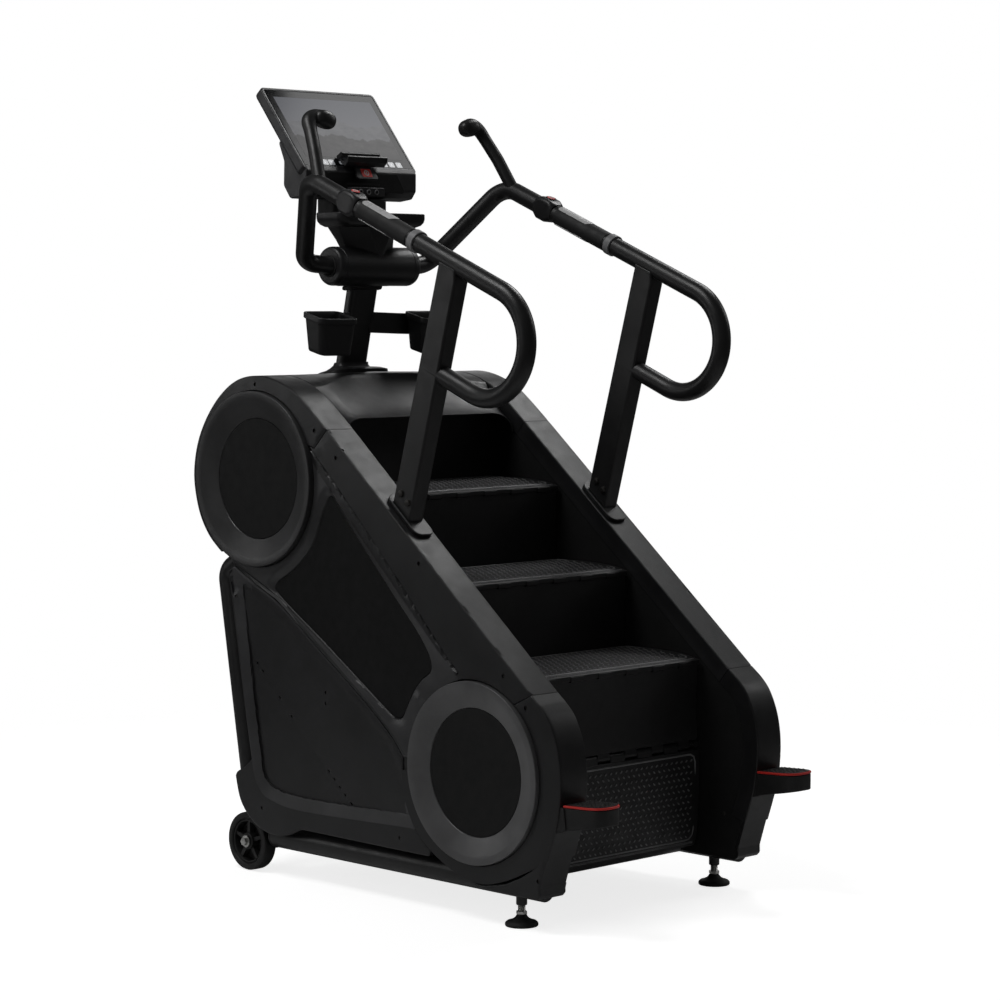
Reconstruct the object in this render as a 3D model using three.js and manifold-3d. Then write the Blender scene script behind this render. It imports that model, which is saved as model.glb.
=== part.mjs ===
// Stair climber: a revolving staircase between two side housings, with a
// console mast and two looped handrails.
// Millimetres, +Z up, floor at Z = 0. The climber faces +Y and stands on the
// steps at the -Y end, the front; +X is the climber's right. Geometry is
// written with Y = 0 close to the front levelling feet, and one group moves it
// so that Y = 0 is the middle of the machine's length.
// Outlines and centres are [y, z] and spans are [from, to], unless noted.
// Paired pieces are built on the right and mirrored to the left.
import * as THREE from "three";
import { mergeVertices } from "three/addons/utils/BufferGeometryUtils.js";
import Module from "manifold-3d";

// ---------------------------------------------------------- shared dimensions
const MIDDLE_Y = 432;
const TOP_IN_X = 301.6; // inner edge of the housings' top faces
const SIDE_X = 391; // outer side face of the housings
const SHEET = 4; // wall of the moulded covers
const GAP = 1.2; // shut line between neighbouring covers
const SIDE_SKIN = [SIDE_X - SHEET, SIDE_X];
const INNER_SKIN = [TOP_IN_X - SHEET, TOP_IN_X];
const HOUSING_SPAN = [TOP_IN_X - SHEET, SIDE_X];
const HOUSING_CUT = [280, 400]; // cutters that pass right through a housing
const SKIRT_DEPTH = 45; // of the housings' inner side walls

// Drive
const UPPER = [895, 1000]; // upper shaft
const LOWER = [110.5, 350]; // lower shaft
const SHAFT_R = 20;
const CHAIN_R = 128.7; // chain line round a sprocket
const CHAIN_HALF = 6; // half of the chain's height
const CHAIN_X = [303, 313];
const BELT_X = [334, 344];
const DRIVE_R = 98;
const ALTERNATOR = [780, 330];
const ALTERNATOR_PULLEY_R = 34;

// Round covers and the gaps that their neighbours leave round them
const UPPER_DISC_R = 219.8;
const LOWER_DISC_R = 215;
const DISC_GAP = 3;
const WIDE_DISC_GAP = 5;

// Wheels and feet
const FOOT = [337.7, 3]; // [x, y]
const WHEEL_R = 74;
const WHEEL = [957, WHEEL_R]; // axle
const AXLE_R = 8;
const AXLE_BORE_R = AXLE_R + 0.4;

// Mast, console and handrails
const MAST_HALF = 45; // half of the column's width
const HUB = [896, 1532];
const RAIL_X = 338;
const RAIL_R = 23;
const RAIL_BORE_R = RAIL_R + 0.6;

// ------------------------------------------------------------------ materials
const FINISHES = {
  cover: { color: 0x17181a, roughness: 0.55, metalness: 0 },
  inset: { color: 0x0d0e0f, roughness: 0.8, metalness: 0 },
  frame: { color: 0x121314, roughness: 0.45, metalness: 0.3 },
  steel: { color: 0x8d9094, roughness: 0.35, metalness: 0.9 },
  darkSteel: { color: 0x26282a, roughness: 0.5, metalness: 0.8 },
  rubber: { color: 0x0b0b0c, roughness: 0.85, metalness: 0 },
  step: { color: 0x111213, roughness: 0.6, metalness: 0.2 },
  glass: { color: 0x08090b, roughness: 0.12, metalness: 0 },
  red: { color: 0xb3161b, roughness: 0.5, metalness: 0 },
  belt: { color: 0x0e0e0e, roughness: 0.9, metalness: 0 },
};

// --------------------------------------------------------------- solid helpers
const wasm = await Module();
wasm.setup();

// Turns a closed three.js geometry into a manifold solid.
function solid(geometry) {
  geometry.deleteAttribute("normal");
  geometry.deleteAttribute("uv");
  const merged = mergeVertices(geometry, 1e-4);
  const corners = new Uint32Array(merged.index.array);
  const build = () =>
    new wasm.Manifold(
      new wasm.Mesh({
        numProp: 3,
        vertProperties: new Float32Array(merged.attributes.position.array),
        triVerts: corners,
      }),
    );
  const made = build();
  if (made.volume() > 0) return made;
  // A reversed profile faces inwards, so its triangles are turned.
  for (let i = 0; i < corners.length; i += 3) {
    [corners[i + 1], corners[i + 2]] = [corners[i + 2], corners[i + 1]];
  }
  return build();
}

const union = (...parts) => parts.reduce((whole, part) => whole.add(part));
const cut = (body, ...tools) => tools.reduce((rest, tool) => rest.subtract(tool), body);
const mirror = (part) => part.mirror([1, 0, 0]);
const withMirror = (part) => union(part, mirror(part));
const cutBothSides = (body, tool) => cut(body, tool, mirror(tool));

// Spans: one centred on zero, and one shortened at both ends.
const across = (half) => [-half, half];
const trim = ([from, to], amount) => [from + amount, to - amount];

const vec = (x, y, z) => new THREE.Vector3(x, y, z);
const vectors2 = (points) => points.map(([a, b]) => new THREE.Vector2(a, b));
const shapeOf = (points) => new THREE.Shape(vectors2(points));

function extrude(points, depth, holes = []) {
  const shape = shapeOf(points);
  shape.holes.push(...holes.map(shapeOf));
  return new THREE.ExtrudeGeometry(shape, { depth, bevelEnabled: false });
}

// Shape x -> world Y, shape y -> world Z, depth -> world X.
const STAND_IN_YZ = new THREE.Matrix4().makeBasis(vec(0, 1, 0), vec(0, 0, 1), vec(1, 0, 0));

// A [y, z] polygon extruded along X.
const prismX = (points, [x0, x1], holes) =>
  solid(extrude(points, x1 - x0, holes).applyMatrix4(STAND_IN_YZ).translate(x0, 0, 0));

// An [x, y] polygon extruded along Z.
const prismZ = (points, [z0, z1]) => solid(extrude(points, z1 - z0).translate(0, 0, z0));

function box([x0, x1], [y0, y1], [z0, z1]) {
  const geometry = new THREE.BoxGeometry(x1 - x0, y1 - y0, z1 - z0);
  return solid(geometry.translate((x0 + x1) / 2, (y0 + y1) / 2, (z0 + z1) / 2));
}

// Cylinders along X, about [y, z], and along Z, about [x, y].
function rodX([y, z], radius, [x0, x1], segments) {
  const geometry = new THREE.CylinderGeometry(radius, radius, x1 - x0, segments);
  return solid(geometry.rotateZ(-Math.PI / 2).translate((x0 + x1) / 2, y, z));
}
function rodZ([x, y], radius, [z0, z1], segments) {
  const geometry = new THREE.CylinderGeometry(radius, radius, z1 - z0, segments);
  return solid(geometry.rotateX(Math.PI / 2).translate(x, y, (z0 + z1) / 2));
}

// Lathes about X, profile [radius, x], and about Z, profile [radius, z].
function latheX(profile, [y, z], segments) {
  const geometry = new THREE.LatheGeometry(vectors2(profile), segments);
  return solid(geometry.rotateZ(-Math.PI / 2).translate(0, y, z));
}
function latheZ(profile, [x, y], segments) {
  const geometry = new THREE.LatheGeometry(vectors2(profile), segments);
  return solid(geometry.rotateX(Math.PI / 2).translate(x, y, 0));
}

// ------------------------------------------------------------- outline helpers
// Points on an arc; angles in degrees from +Y towards +Z.
const arc = ([y, z], radius, from, to, steps) =>
  Array.from({ length: steps + 1 }, (_, i) => {
    const angle = ((from + ((to - from) * i) / steps) * Math.PI) / 180;
    return [y + radius * Math.cos(angle), z + radius * Math.sin(angle)];
  });

// Direction from one [y, z] point to another, in degrees.
const bearingOf = (from, to) =>
  (Math.atan2(to[1] - from[1], to[0] - from[0]) * 180) / Math.PI;

// Moves an open polyline sideways, to the right of travel, with mitred corners.
function offset(points, distance) {
  const last = points.length - 1;
  const rightOf = (from, to) => {
    const dy = to[0] - from[0];
    const dz = to[1] - from[1];
    const length = Math.hypot(dy, dz);
    return [dz / length, -dy / length];
  };
  return points.map((point, i) => {
    const before = points[Math.max(i - 1, 0)];
    const after = points[Math.min(i + 1, last)];
    const normalIn = i > 0 ? rightOf(before, point) : rightOf(point, after);
    const normalOut = i < last ? rightOf(point, after) : rightOf(before, point);
    const mitre = [normalIn[0] + normalOut[0], normalIn[1] + normalOut[1]];
    const scale = (2 * distance) / (mitre[0] ** 2 + mitre[1] ** 2);
    return [point[0] + mitre[0] * scale, point[1] + mitre[1] * scale];
  });
}

// Shrinks a closed polygon by a distance, whichever way it runs.
function inset(points, distance) {
  const count = points.length;
  const doubleArea = points.reduce((sum, point, i) => {
    const next = points[(i + 1) % count];
    return sum + point[0] * next[1] - next[0] * point[1];
  }, 0);
  const looped = [points[count - 1], ...points, points[0]];
  return offset(looped, doubleArea > 0 ? -distance : distance).slice(1, count + 1);
}

// A strip of wall to the right of an open outline.
const wall = (points, thickness, span) =>
  prismX([...points, ...offset(points, thickness).reverse()], span);

// ---------------------------------------------------------------- tube helpers
const BEND_STEPS = 4;

// Rounds the inner corners of a polyline of vectors, one radius per corner.
// Returns stations, each [position, tangent].
function rounded(points, radii) {
  const last = points.length - 1;
  const direction = (i) => points[i + 1].clone().sub(points[i]).normalize();
  const stations = [[points[0], direction(0)]];
  for (let i = 1; i < last; i++) {
    const radius = radii[i - 1];
    const entry = direction(i - 1);
    const exit = direction(i);
    const angle = Math.acos(entry.dot(exit));
    const inward = exit.clone().addScaledVector(entry, -entry.dot(exit)).normalize();
    const start = points[i].clone().addScaledVector(entry, -radius * Math.tan(angle / 2));
    for (let k = 0; k <= BEND_STEPS; k++) {
      const turn = (angle * k) / BEND_STEPS;
      const position = start
        .clone()
        .addScaledVector(entry, radius * Math.sin(turn))
        .addScaledVector(inward, radius * (1 - Math.cos(turn)));
      const tangent = entry
        .clone()
        .multiplyScalar(Math.cos(turn))
        .addScaledVector(inward, Math.sin(turn));
      stations.push([position, tangent.normalize()]);
    }
  }
  stations.push([points[last], direction(last - 1)]);
  return stations;
}

// An extrusion path whose samples are exactly its stations, so that a tube
// keeps its bends.
class StationPath extends THREE.Curve {
  constructor(stations) {
    super();
    this.stations = stations;
  }
  getSpacedPoints() {
    return this.stations.map(([position]) => position);
  }
  getTangentAt(u, target = new THREE.Vector3()) {
    const index = Math.round(u * (this.stations.length - 1));
    return target.copy(this.stations[index][1]);
  }
}

// A round bar through stations; the section has a flat at angle zero.
function tube(stations, radius, segments) {
  const section = Array.from({ length: segments }, (_, i) => {
    const angle = ((i + 0.5) / segments) * Math.PI * 2;
    return [radius * Math.cos(angle), radius * Math.sin(angle)];
  });
  return solid(
    new THREE.ExtrudeGeometry(shapeOf(section), {
      steps: stations.length - 1,
      extrudePath: new StationPath(stations),
      bevelEnabled: false,
    }),
  );
}

// A straight round bar between two vectors.
const bar = (start, end, radius, segments) => tube(rounded([start, end], []), radius, segments);

// ----------------------------------------------------------- housing outlines
// The crease between the side face and the top face runs up the front, up the
// incline, over the top and down the back.
const CREASE_LOW = [-75, 549];
const CREASE_HIGH = [627, 1131];
const CAP_OUTLINE = [
  CREASE_HIGH, [690, 1186], [741, 1217], [805, 1246], [872, 1258],
  [939, 1253], [987, 1236], [1040, 1201], [1089, 1151], [1124, 1087],
  [1140, 1025], [1141, 975], [1119, 901], [1083, 854], [1035, 806],
];
const FRONT_OUTLINE = [
  [-106, 104], [-144, 216], [-160, 270], [-168, 319], [-168, 387],
  [-156, 446], [-131, 498], [-107, 524], CREASE_LOW,
];
const INCLINE = [0.7698, 0.6383]; // unit vector up the incline
const INCLINE_SLOPE = 0.8291; // rise over run

// A point moved up the incline and square to it, into the housing.
const along = ([y, z], distance, depth = 0) => [
  y + INCLINE[0] * distance + INCLINE[1] * depth,
  z + INCLINE[1] * distance - INCLINE[0] * depth,
];

// The point of the inclined crease at a given y.
const creaseAt = (y) => [y, CREASE_LOW[1] + INCLINE_SLOPE * (y - CREASE_LOW[0])];

// ----------------------------------------------------------------- rail covers
const RAIL_COVER_LOWER_EDGE = [ // from the top down
  [683, 1097], [680, 1083], [532, 948], [361, 781], [196, 614], [157, 582],
];

function railCover() {
  const low = along(CREASE_LOW, GAP / 2);
  const high = along(CREASE_HIGH, -GAP / 2);
  const strip = (depth) => [low, high, along(high, 0, depth), along(low, 0, depth)];
  const side = [
    low,
    high,
    ...RAIL_COVER_LOWER_EDGE,
    ...arc(LOWER, LOWER_DISC_R + WIDE_DISC_GAP, 76, 127.5, 8),
  ];
  return union(
    prismX(strip(SHEET), HOUSING_SPAN),
    prismX(side, SIDE_SKIN),
    prismX(strip(SKIRT_DEPTH), INNER_SKIN),
  );
}

// ------------------------------------------------------------------ upper caps
// Clears the rail cover, so that the end face follows the shut line.
const UPPER_CAP_CUTTER = [
  along(CREASE_HIGH, 0.8), [694.5, 1094.4], [600, 1000], [500, 1000], [560, 1140],
];

function upperCap() {
  const outline = [along(CREASE_HIGH, GAP / 2), ...CAP_OUTLINE.slice(1)];
  const side = [...outline, ...arc(UPPER, UPPER_DISC_R + DISC_GAP, -56, 155, 20)];
  return cut(
    union(wall(outline, SHEET, HOUSING_SPAN), prismX(side, SIDE_SKIN)),
    prismX(UPPER_CAP_CUTTER, HOUSING_CUT),
  );
}

// ------------------------------------------------------------------ front caps
const FRONT_CAP_LOWER_EDGE = [ // from the back to the front
  [354, 327], [341, 257], [306, 194], [254, 148], [171, 108],
  [87, 92], [16, 104], [-40, 82], [-75, 72],
];
const FRONT_CAP_CUTTER = [
  along(CREASE_LOW, -1.1), [-24.3, 518.6], [60, 480], [80, 640], [-90, 620],
];

function frontCap() {
  const outline = [...FRONT_OUTLINE.slice(0, -1), along(CREASE_LOW, -GAP / 2)];
  const side = [
    ...arc(LOWER, LOWER_DISC_R + DISC_GAP, 128.5, 355, 22),
    ...FRONT_CAP_LOWER_EDGE,
    ...outline,
  ];
  return cut(
    union(
      wall(outline, SHEET, HOUSING_SPAN),
      prismX(side, SIDE_SKIN),
      wall(outline, SKIRT_DEPTH, INNER_SKIN),
    ),
    prismX(FRONT_CAP_CUTTER, HOUSING_CUT),
  );
}

// ---------------------------------------------------------------- round covers
const DISC_X = 401; // outermost face
const DISC_THICKNESS = 27;
const DISC_INNER_R = 151; // flat floor of the dish

function discCover(centre, radius, dishDepth) {
  const back = DISC_X - DISC_THICKNESS;
  const floor = DISC_X - dishDepth;
  const profile = [
    [0, back], [radius, back], [radius, DISC_X - 3], [radius - 5, DISC_X],
    [DISC_INNER_R, floor], [0, floor],
  ];
  return latheX(profile, centre, 32);
}

// --------------------------------------------------------------- centre panels
const CENTRE_OUTLINE = [
  ...arc(UPPER, UPPER_DISC_R + DISC_GAP, 159, 298, 14),
  [985, 780], [823, 703], [476, 469], [390, 401], [355.5, 362],
  ...arc(LOWER, LOWER_DISC_R + WIDE_DISC_GAP, 3, 74, 8),
  [160, 579], [196, 612], [361, 779], [532, 946], [677, 1080],
];
const CENTRE_RECESS = [
  [630, 967], [652, 938], [669, 895], [694, 846], [735, 804], [791, 767], [828, 748],
  [840, 728], [819, 699], [406, 453], [378, 447], [364, 451], [350, 478], [322, 523],
  [298, 548], [267, 568], [264, 592], [298, 645], [468, 813], [608, 957],
];
const CENTRE_PANEL_X = [373, SIDE_X];
const CENTRE_RECESS_X = [377, SIDE_X + 5];

const centrePanel = () =>
  cut(prismX(CENTRE_OUTLINE, CENTRE_PANEL_X), prismX(CENTRE_RECESS, CENTRE_RECESS_X));

// ------------------------------------------------------------ rear side panels
const REAR_SIDE_OUTLINE = [
  [985, 776.5], [999, 766], [915, 291], [947, 266], [973, 253], [979, 243],
  [962, 183], [936, 156], [889, 122], [835, 109], [777, 115], [727, 134],
  [564, 134], [258, 134], [257, 149], [309, 194], [344, 257], [357.5, 329],
  [358, 358], [391, 398], [477, 466], [823, 699.5],
];
const REAR_SIDE_RECESS = [
  [948, 726], [882, 293], [868, 252], [822, 226], [765, 218], [345, 224],
  [372, 330], [400, 385], [480, 445], [824, 672], [935, 733],
];
const REAR_SIDE_X = [SIDE_X - 10, SIDE_X - 1];
const REAR_RECESS_X = [SIDE_X - 6, SIDE_X + 5];

const rearSidePanel = () =>
  cut(prismX(REAR_SIDE_OUTLINE, REAR_SIDE_X), prismX(REAR_SIDE_RECESS, REAR_RECESS_X));

// ----------------------------------------------------------------- mast column
const MAST_LEAN = -0.226; // y per unit of z, towards the climber
const MAST_BASE = [976, 1250]; // a point on the centre line

// The leaning column's outline between two heights.
function mastPrism(halfX, halfY, [z0, z1]) {
  const middleY = (z) => MAST_BASE[0] + (z - MAST_BASE[1]) * MAST_LEAN;
  const outline = [
    [middleY(z0) - halfY, z0],
    [middleY(z0) + halfY, z0],
    [middleY(z1) + halfY, z1],
    [middleY(z1) - halfY, z1],
  ];
  return prismX(outline, across(halfX));
}

// ------------------------------------------------------------------ top shroud
const SHROUD_PROFILE = [
  [668, 1146], [676, 1154], [705, 1166], [755, 1193],
  [800, 1224], [832, 1249], [852, 1260], [880, 1262],
  ...CAP_OUTLINE.slice(5),
];
const COLLAR_OUTER = [
  [915, 1251], [922, 1272], [1000, 1272], [1018, 1213], [987, 1233], [939, 1250],
];
const COLLAR_INNER = [
  [915, 1200], [920, 1250], [925, 1268], [997, 1268], [1006, 1240], [1012, 1200],
];
const COLLAR_OUTER_HALF = 76;
const COLLAR_INNER_HALF = 72;
const SHROUD_OPENING_Y = [921, 1008];

// The cover between the housings, with a hollow collar round the mast's foot.
function topShroud() {
  const skin = wall(SHROUD_PROFILE, SHEET, across(TOP_IN_X - SHEET - GAP));
  const opening = box(across(COLLAR_INNER_HALF), SHROUD_OPENING_Y, [1150, 1300]);
  const collar = cut(
    prismX(COLLAR_OUTER, across(COLLAR_OUTER_HALF)),
    prismX(COLLAR_INNER, across(COLLAR_INNER_HALF)),
  );
  return cut(union(cut(skin, opening), collar), mastPrism(MAST_HALF + 1, 17, [1240, 1300]));
}

// ------------------------------------------------------------------ rear cover
const REAR_PROFILE = [[1019, 789], [1004, 770], [908, 240], [898, 136]];
const REAR_HALF = 306;
// A thin upright fin, low on the back and left of the middle.
const REAR_FIN = { x: [-150, -146], y: [905, 935], z: [250, 330] };

const rearCover = () =>
  union(
    wall(REAR_PROFILE, SHEET, across(REAR_HALF)),
    box(REAR_FIN.x, REAR_FIN.y, REAR_FIN.z),
  );

// ------------------------------------------------------------------ base frame
const TUBE_R = 30;
const TUBE_X = 340;
const TUBE_Z = 97;
const BOTTOM_TUBE_Y = [-76, 866];
const UPRIGHT_PATH = [[958, 172], [1055, 752], [985, 790]];
const UPRIGHT_BEND_R = 60;
const CROSS_HALF = 328;
const CROSS_TUBES = [ // [y, z, radius]
  [100, TUBE_Z, 24], [560, TUBE_Z, 24], [862, TUBE_Z, 24], [1030, 640, 22],
];
const BRACKET_X = [325.5, 331.5];
const BRACKET_OUTLINE = [
  [770, 80], [866, 66], [950, 52], [972, 60], [984, 90],
  [984, 230], [948, 240], [900, 160], [780, 118],
];

// A bottom tube and a leaning rear upright on each side, joined by a plate
// that also holds the wheel. Sleeves take the stems of the front feet.
function baseFrame() {
  const upright = UPRIGHT_PATH.map(([y, z]) => vec(TUBE_X, y, z));
  const [frontY, backY] = BOTTOM_TUBE_Y;
  const side = union(
    bar(vec(TUBE_X, frontY, TUBE_Z), vec(TUBE_X, backY, TUBE_Z), TUBE_R, 14),
    tube(rounded(upright, [UPRIGHT_BEND_R]), TUBE_R, 14),
    rodZ(FOOT, 13, [52, 80], 16),
    prismX(BRACKET_OUTLINE, BRACKET_X),
  );
  const crosses = CROSS_TUBES.map(([y, z, radius]) =>
    rodX([y, z], radius, across(CROSS_HALF), 8),
  );
  const bored = cutBothSides(
    union(withMirror(side), ...crosses),
    rodZ(FOOT, 9.5, [40, 110], 16),
  );
  return cutBothSides(bored, rodX(WHEEL, AXLE_BORE_R, [320, 340], 24));
}

// ----------------------------------------------------------------- side plates
const PLATE_X = [320, 324];
const PLATE_INSET = 12; // from the housing outline
const PLATE_OUTLINE = [
  ...CAP_OUTLINE.slice(0, -2),
  [1078, 872], [1000, 862], [950, 770], [905, 300], [880, 145], [300, 145], [-80, 145],
  ...FRONT_OUTLINE.slice(1),
];
const SHAFT_BORE_R = SHAFT_R + 0.6;
const ALTERNATOR_HOLE_R = 14;
const BEARING_R = 46;
const BEARING_X = [PLATE_X[1] - 1, 331.5];
const TRACK_X = [304, PLATE_X[0] + 1];
const TRACK_ALONG = [78, 940]; // from the lower shaft, up the chain's slope
const TRACK_ABOVE = [104, 116]; // square to that slope
const TRACK_DIRECTION = [0.7704, 0.6376];

// A steel plate with a bearing ring for each shaft, and the track that the
// step chain runs on, beside its upper run.
function sidePlate() {
  const circle = (centre, radius) => arc(centre, radius, 0, 345, 23);
  const plate = prismX(inset(PLATE_OUTLINE, PLATE_INSET), PLATE_X, [
    circle(UPPER, SHAFT_BORE_R),
    circle(LOWER, SHAFT_BORE_R),
    circle(ALTERNATOR, ALTERNATOR_HOLE_R),
  ]);
  const bearing = (centre) =>
    cut(
      rodX(centre, BEARING_R, BEARING_X, 20),
      rodX(centre, SHAFT_BORE_R, [300, 350], 24),
    );
  const trackPoint = (distance, height) => [
    LOWER[0] + TRACK_DIRECTION[0] * distance - TRACK_DIRECTION[1] * height,
    LOWER[1] + TRACK_DIRECTION[1] * distance + TRACK_DIRECTION[0] * height,
  ];
  const [start, end] = TRACK_ALONG;
  const [under, top] = TRACK_ABOVE;
  const track = prismX(
    [
      trackPoint(start, under),
      trackPoint(end, under),
      trackPoint(end, top),
      trackPoint(start, top),
    ],
    TRACK_X,
  );
  return union(plate, bearing(UPPER), bearing(LOWER), track);
}

// ----------------------------------------------------------- shafts and chains
const SPROCKET_R = CHAIN_R - CHAIN_HALF - 0.9;
const SPROCKET_HUB_R = 40;
const SPROCKET_HUB_X = [297, 317];
const SHAFT_HALF = 336;
const DRIVEN_END_X = 346; // right end of the upper shaft, which carries the pulley

// A shaft with a sprocket near each end.
function shaft(centre, rightEnd) {
  const sprocket = union(
    rodX(centre, SPROCKET_R, trim(CHAIN_X, 1.5), 28),
    rodX(centre, SPROCKET_HUB_R, SPROCKET_HUB_X, 16),
  );
  return union(rodX(centre, SHAFT_R, [-SHAFT_HALF, rightEnd], 20), withMirror(sprocket));
}

function stepChain() {
  const bearing = bearingOf(UPPER, LOWER);
  const loop = (radius) => [
    ...arc(LOWER, radius, bearing - 90, bearing + 90, 15),
    ...arc(UPPER, radius, bearing + 90, bearing + 270, 15),
  ];
  return prismX(loop(CHAIN_R + CHAIN_HALF), CHAIN_X, [loop(CHAIN_R - CHAIN_HALF + 0.6)]);
}

// ------------------------------------------------------------------ belt drive
const PULLEY_X = trim(BELT_X, 0.5);
const PULLEY_HUB_R = 36;
const PULLEY_HUB_X = [BELT_X[0] - 1, BELT_X[1] + 5];
const PULLEY_CUT = [320, 360];
const PULLEY_HOLES = { count: 4, radius: 22, ringRadius: 65 };
const BELT_CLEARANCE = 0.6; // belt's inner face over the pulley radii
const BELT_OUTER = 4.6; // belt's outer face over the pulley radii
const ALTERNATOR_SHAFT_R = 9;

function drivePulley() {
  const holes = Array.from({ length: PULLEY_HOLES.count }, (_, i) => {
    const angle = (i * 2 * Math.PI) / PULLEY_HOLES.count;
    const centre = [
      UPPER[0] + PULLEY_HOLES.ringRadius * Math.cos(angle),
      UPPER[1] + PULLEY_HOLES.ringRadius * Math.sin(angle),
    ];
    return rodX(centre, PULLEY_HOLES.radius, PULLEY_CUT, 10);
  });
  return cut(
    union(
      rodX(UPPER, DRIVE_R - 0.6, PULLEY_X, 32),
      rodX(UPPER, PULLEY_HUB_R, PULLEY_HUB_X, 24),
    ),
    rodX(UPPER, SHAFT_R + 0.4, PULLEY_CUT, 24),
    ...holes,
  );
}

function driveBelt() {
  const bearing = bearingOf(UPPER, ALTERNATOR);
  const distance = Math.hypot(ALTERNATOR[0] - UPPER[0], ALTERNATOR[1] - UPPER[1]);
  // The angle by which the straight runs converge on the small pulley.
  const taper = (Math.asin((DRIVE_R - ALTERNATOR_PULLEY_R) / distance) * 180) / Math.PI;
  const wide = 90 + taper;
  const narrow = 90 - taper;
  const loop = (extra) => [
    ...arc(UPPER, DRIVE_R + extra, bearing + narrow, bearing + 180 + wide, 20),
    ...arc(ALTERNATOR, ALTERNATOR_PULLEY_R + extra, bearing - narrow, bearing + narrow, 10),
  ];
  return prismX(loop(BELT_OUTER), BELT_X, [loop(BELT_CLEARANCE)]);
}

// A drum with a smaller end boss, on a block, bored for its shaft.
function alternator() {
  const [y, z] = ALTERNATOR;
  return cut(
    union(
      rodX(ALTERNATOR, 92, [200, 316], 24),
      rodX(ALTERNATOR, 60, [185, 205], 24),
      box([205, 319.4], [y - 60, y + 60], [z - 118, z - 70]),
    ),
    rodX(ALTERNATOR, ALTERNATOR_SHAFT_R + 0.5, [180, 330], 24),
  );
}

const alternatorPulley = () =>
  union(
    rodX(ALTERNATOR, ALTERNATOR_PULLEY_R, PULLEY_X, 24),
    rodX(ALTERNATOR, ALTERNATOR_SHAFT_R, [190, BELT_X[1] + 3], 24),
  );

// ------------------------------------------------------------------- staircase
const STEP_RISE = 203.2;
const STEP_RUN = 242.4;
const FIRST_NOSE = [13.4, 563.6]; // nosing of the lowest full step
const STEP_HALF = 291;
const TREAD_CROWN = 15;
// About the nosing: y runs back from it, z up from it.
const TREAD_PROFILE = [
  [0, -2], [2, 0], [14, 4], [42, 9], [90, 13], [160, TREAD_CROWN],
  [STEP_RUN, TREAD_CROWN], [STEP_RUN + 1.6, 12], [STEP_RUN + 1.6, -6],
  [150, -6], [30, -8], [16, -12], [1, -12],
];
const LUG_PROFILE = [[100, -4], [150, -4], [138, -36], [112, -36]];
const LUG_WIDTH = 7;
const PIN = [125, -25]; // from the nosing
const PIN_R = 6;
const RISER_SETBACK = 5; // behind the nosing
const RISER_T = 11;
const RISER_TOP_DROP = 12.6; // below the nosing
const KNUCKLE = [FIRST_NOSE[0] + RISER_SETBACK + RISER_T / 2, 355];
const KNUCKLE_WEB_HALF = 4; // half thickness of the web under the knuckle

// A tread about its nosing, with a lug and a pin towards the chain at each end.
const tread = () =>
  union(
    prismX(TREAD_PROFILE, across(STEP_HALF)),
    withMirror(
      union(
        prismX(LUG_PROFILE, [STEP_HALF - LUG_WIDTH, STEP_HALF]),
        rodX(PIN, PIN_R, [STEP_HALF - 8, CHAIN_X[0] - 0.8], 12),
      ),
    ),
  );

// Nosing of a step, counted from 1 at the bottom.
const noseOf = (step) => [
  FIRST_NOSE[0] + STEP_RUN * (step - 1),
  FIRST_NOSE[1] + STEP_RISE * (step - 1),
];

function riser(step) {
  const [y, z] = noseOf(step);
  const top = z - RISER_TOP_DROP;
  const bottom = step === 1 ? KNUCKLE[1] + 9.5 : z - STEP_RISE - 7;
  const front = y + RISER_SETBACK;
  const back = front + RISER_T;
  return prismX(
    [[front - 0.6, top], [back, top], [back, bottom], [front, bottom]],
    across(STEP_HALF - 2),
  );
}

// The next tread, turned down and hanging from the lowest riser.
function hangingTread() {
  const [y, z] = KNUCKLE;
  const webY = [y - KNUCKLE_WEB_HALF, y + KNUCKLE_WEB_HALF];
  return union(
    tread()
      .rotate([90, 0, 0])
      .translate([0, y + 4, z - 12 - STEP_RUN]),
    rodX(KNUCKLE, 7.5, across(282), 12),
    box(across(270), webY, [z - 16, z]),
  );
}

// -------------------------------------------------------------- levelling feet
const PAD_R = 39;
const PAD_PROFILE = [ // [radius, z]
  [0, 0], [PAD_R - 2, 0], [PAD_R, 3], [PAD_R, 8],
  [PAD_R - 6, 13], [16, 20], [11, 26], [0, 26],
];

const levellingFoot = () =>
  union(latheZ(PAD_PROFILE, FOOT, 24), rodZ(FOOT, 9, [20, 92], 16));

// ---------------------------------------------------------------------- wheels
const WHEEL_X = [334, 372];
const [WHEEL_IN, WHEEL_OUT] = WHEEL_X;
const WHEEL_PROFILE = [ // [radius, x], with a ring groove in the outer face
  [AXLE_BORE_R, WHEEL_IN], [WHEEL_R - 4, WHEEL_IN],
  [WHEEL_R, WHEEL_IN + 5], [WHEEL_R, WHEEL_OUT - 5],
  [WHEEL_R - 4, WHEEL_OUT], [54, WHEEL_OUT],
  [50, WHEEL_OUT - 9], [24, WHEEL_OUT - 9],
  [21, WHEEL_OUT - 2], [AXLE_BORE_R, WHEEL_OUT - 2],
  [AXLE_BORE_R, WHEEL_IN],
];

// A pin with a round collar and a hexagon outside, and a hexagon inside.
const wheelAxle = () =>
  union(
    rodX(WHEEL, AXLE_R, [316, WHEEL_OUT + 6], 24),
    rodX(WHEEL, 15, [WHEEL_OUT + 0.6, WHEEL_OUT + 4], 16),
    rodX(WHEEL, 11, [WHEEL_OUT + 3.5, WHEEL_OUT + 13], 6),
    rodX(WHEEL, 12, [314, 325], 6),
  );

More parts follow.
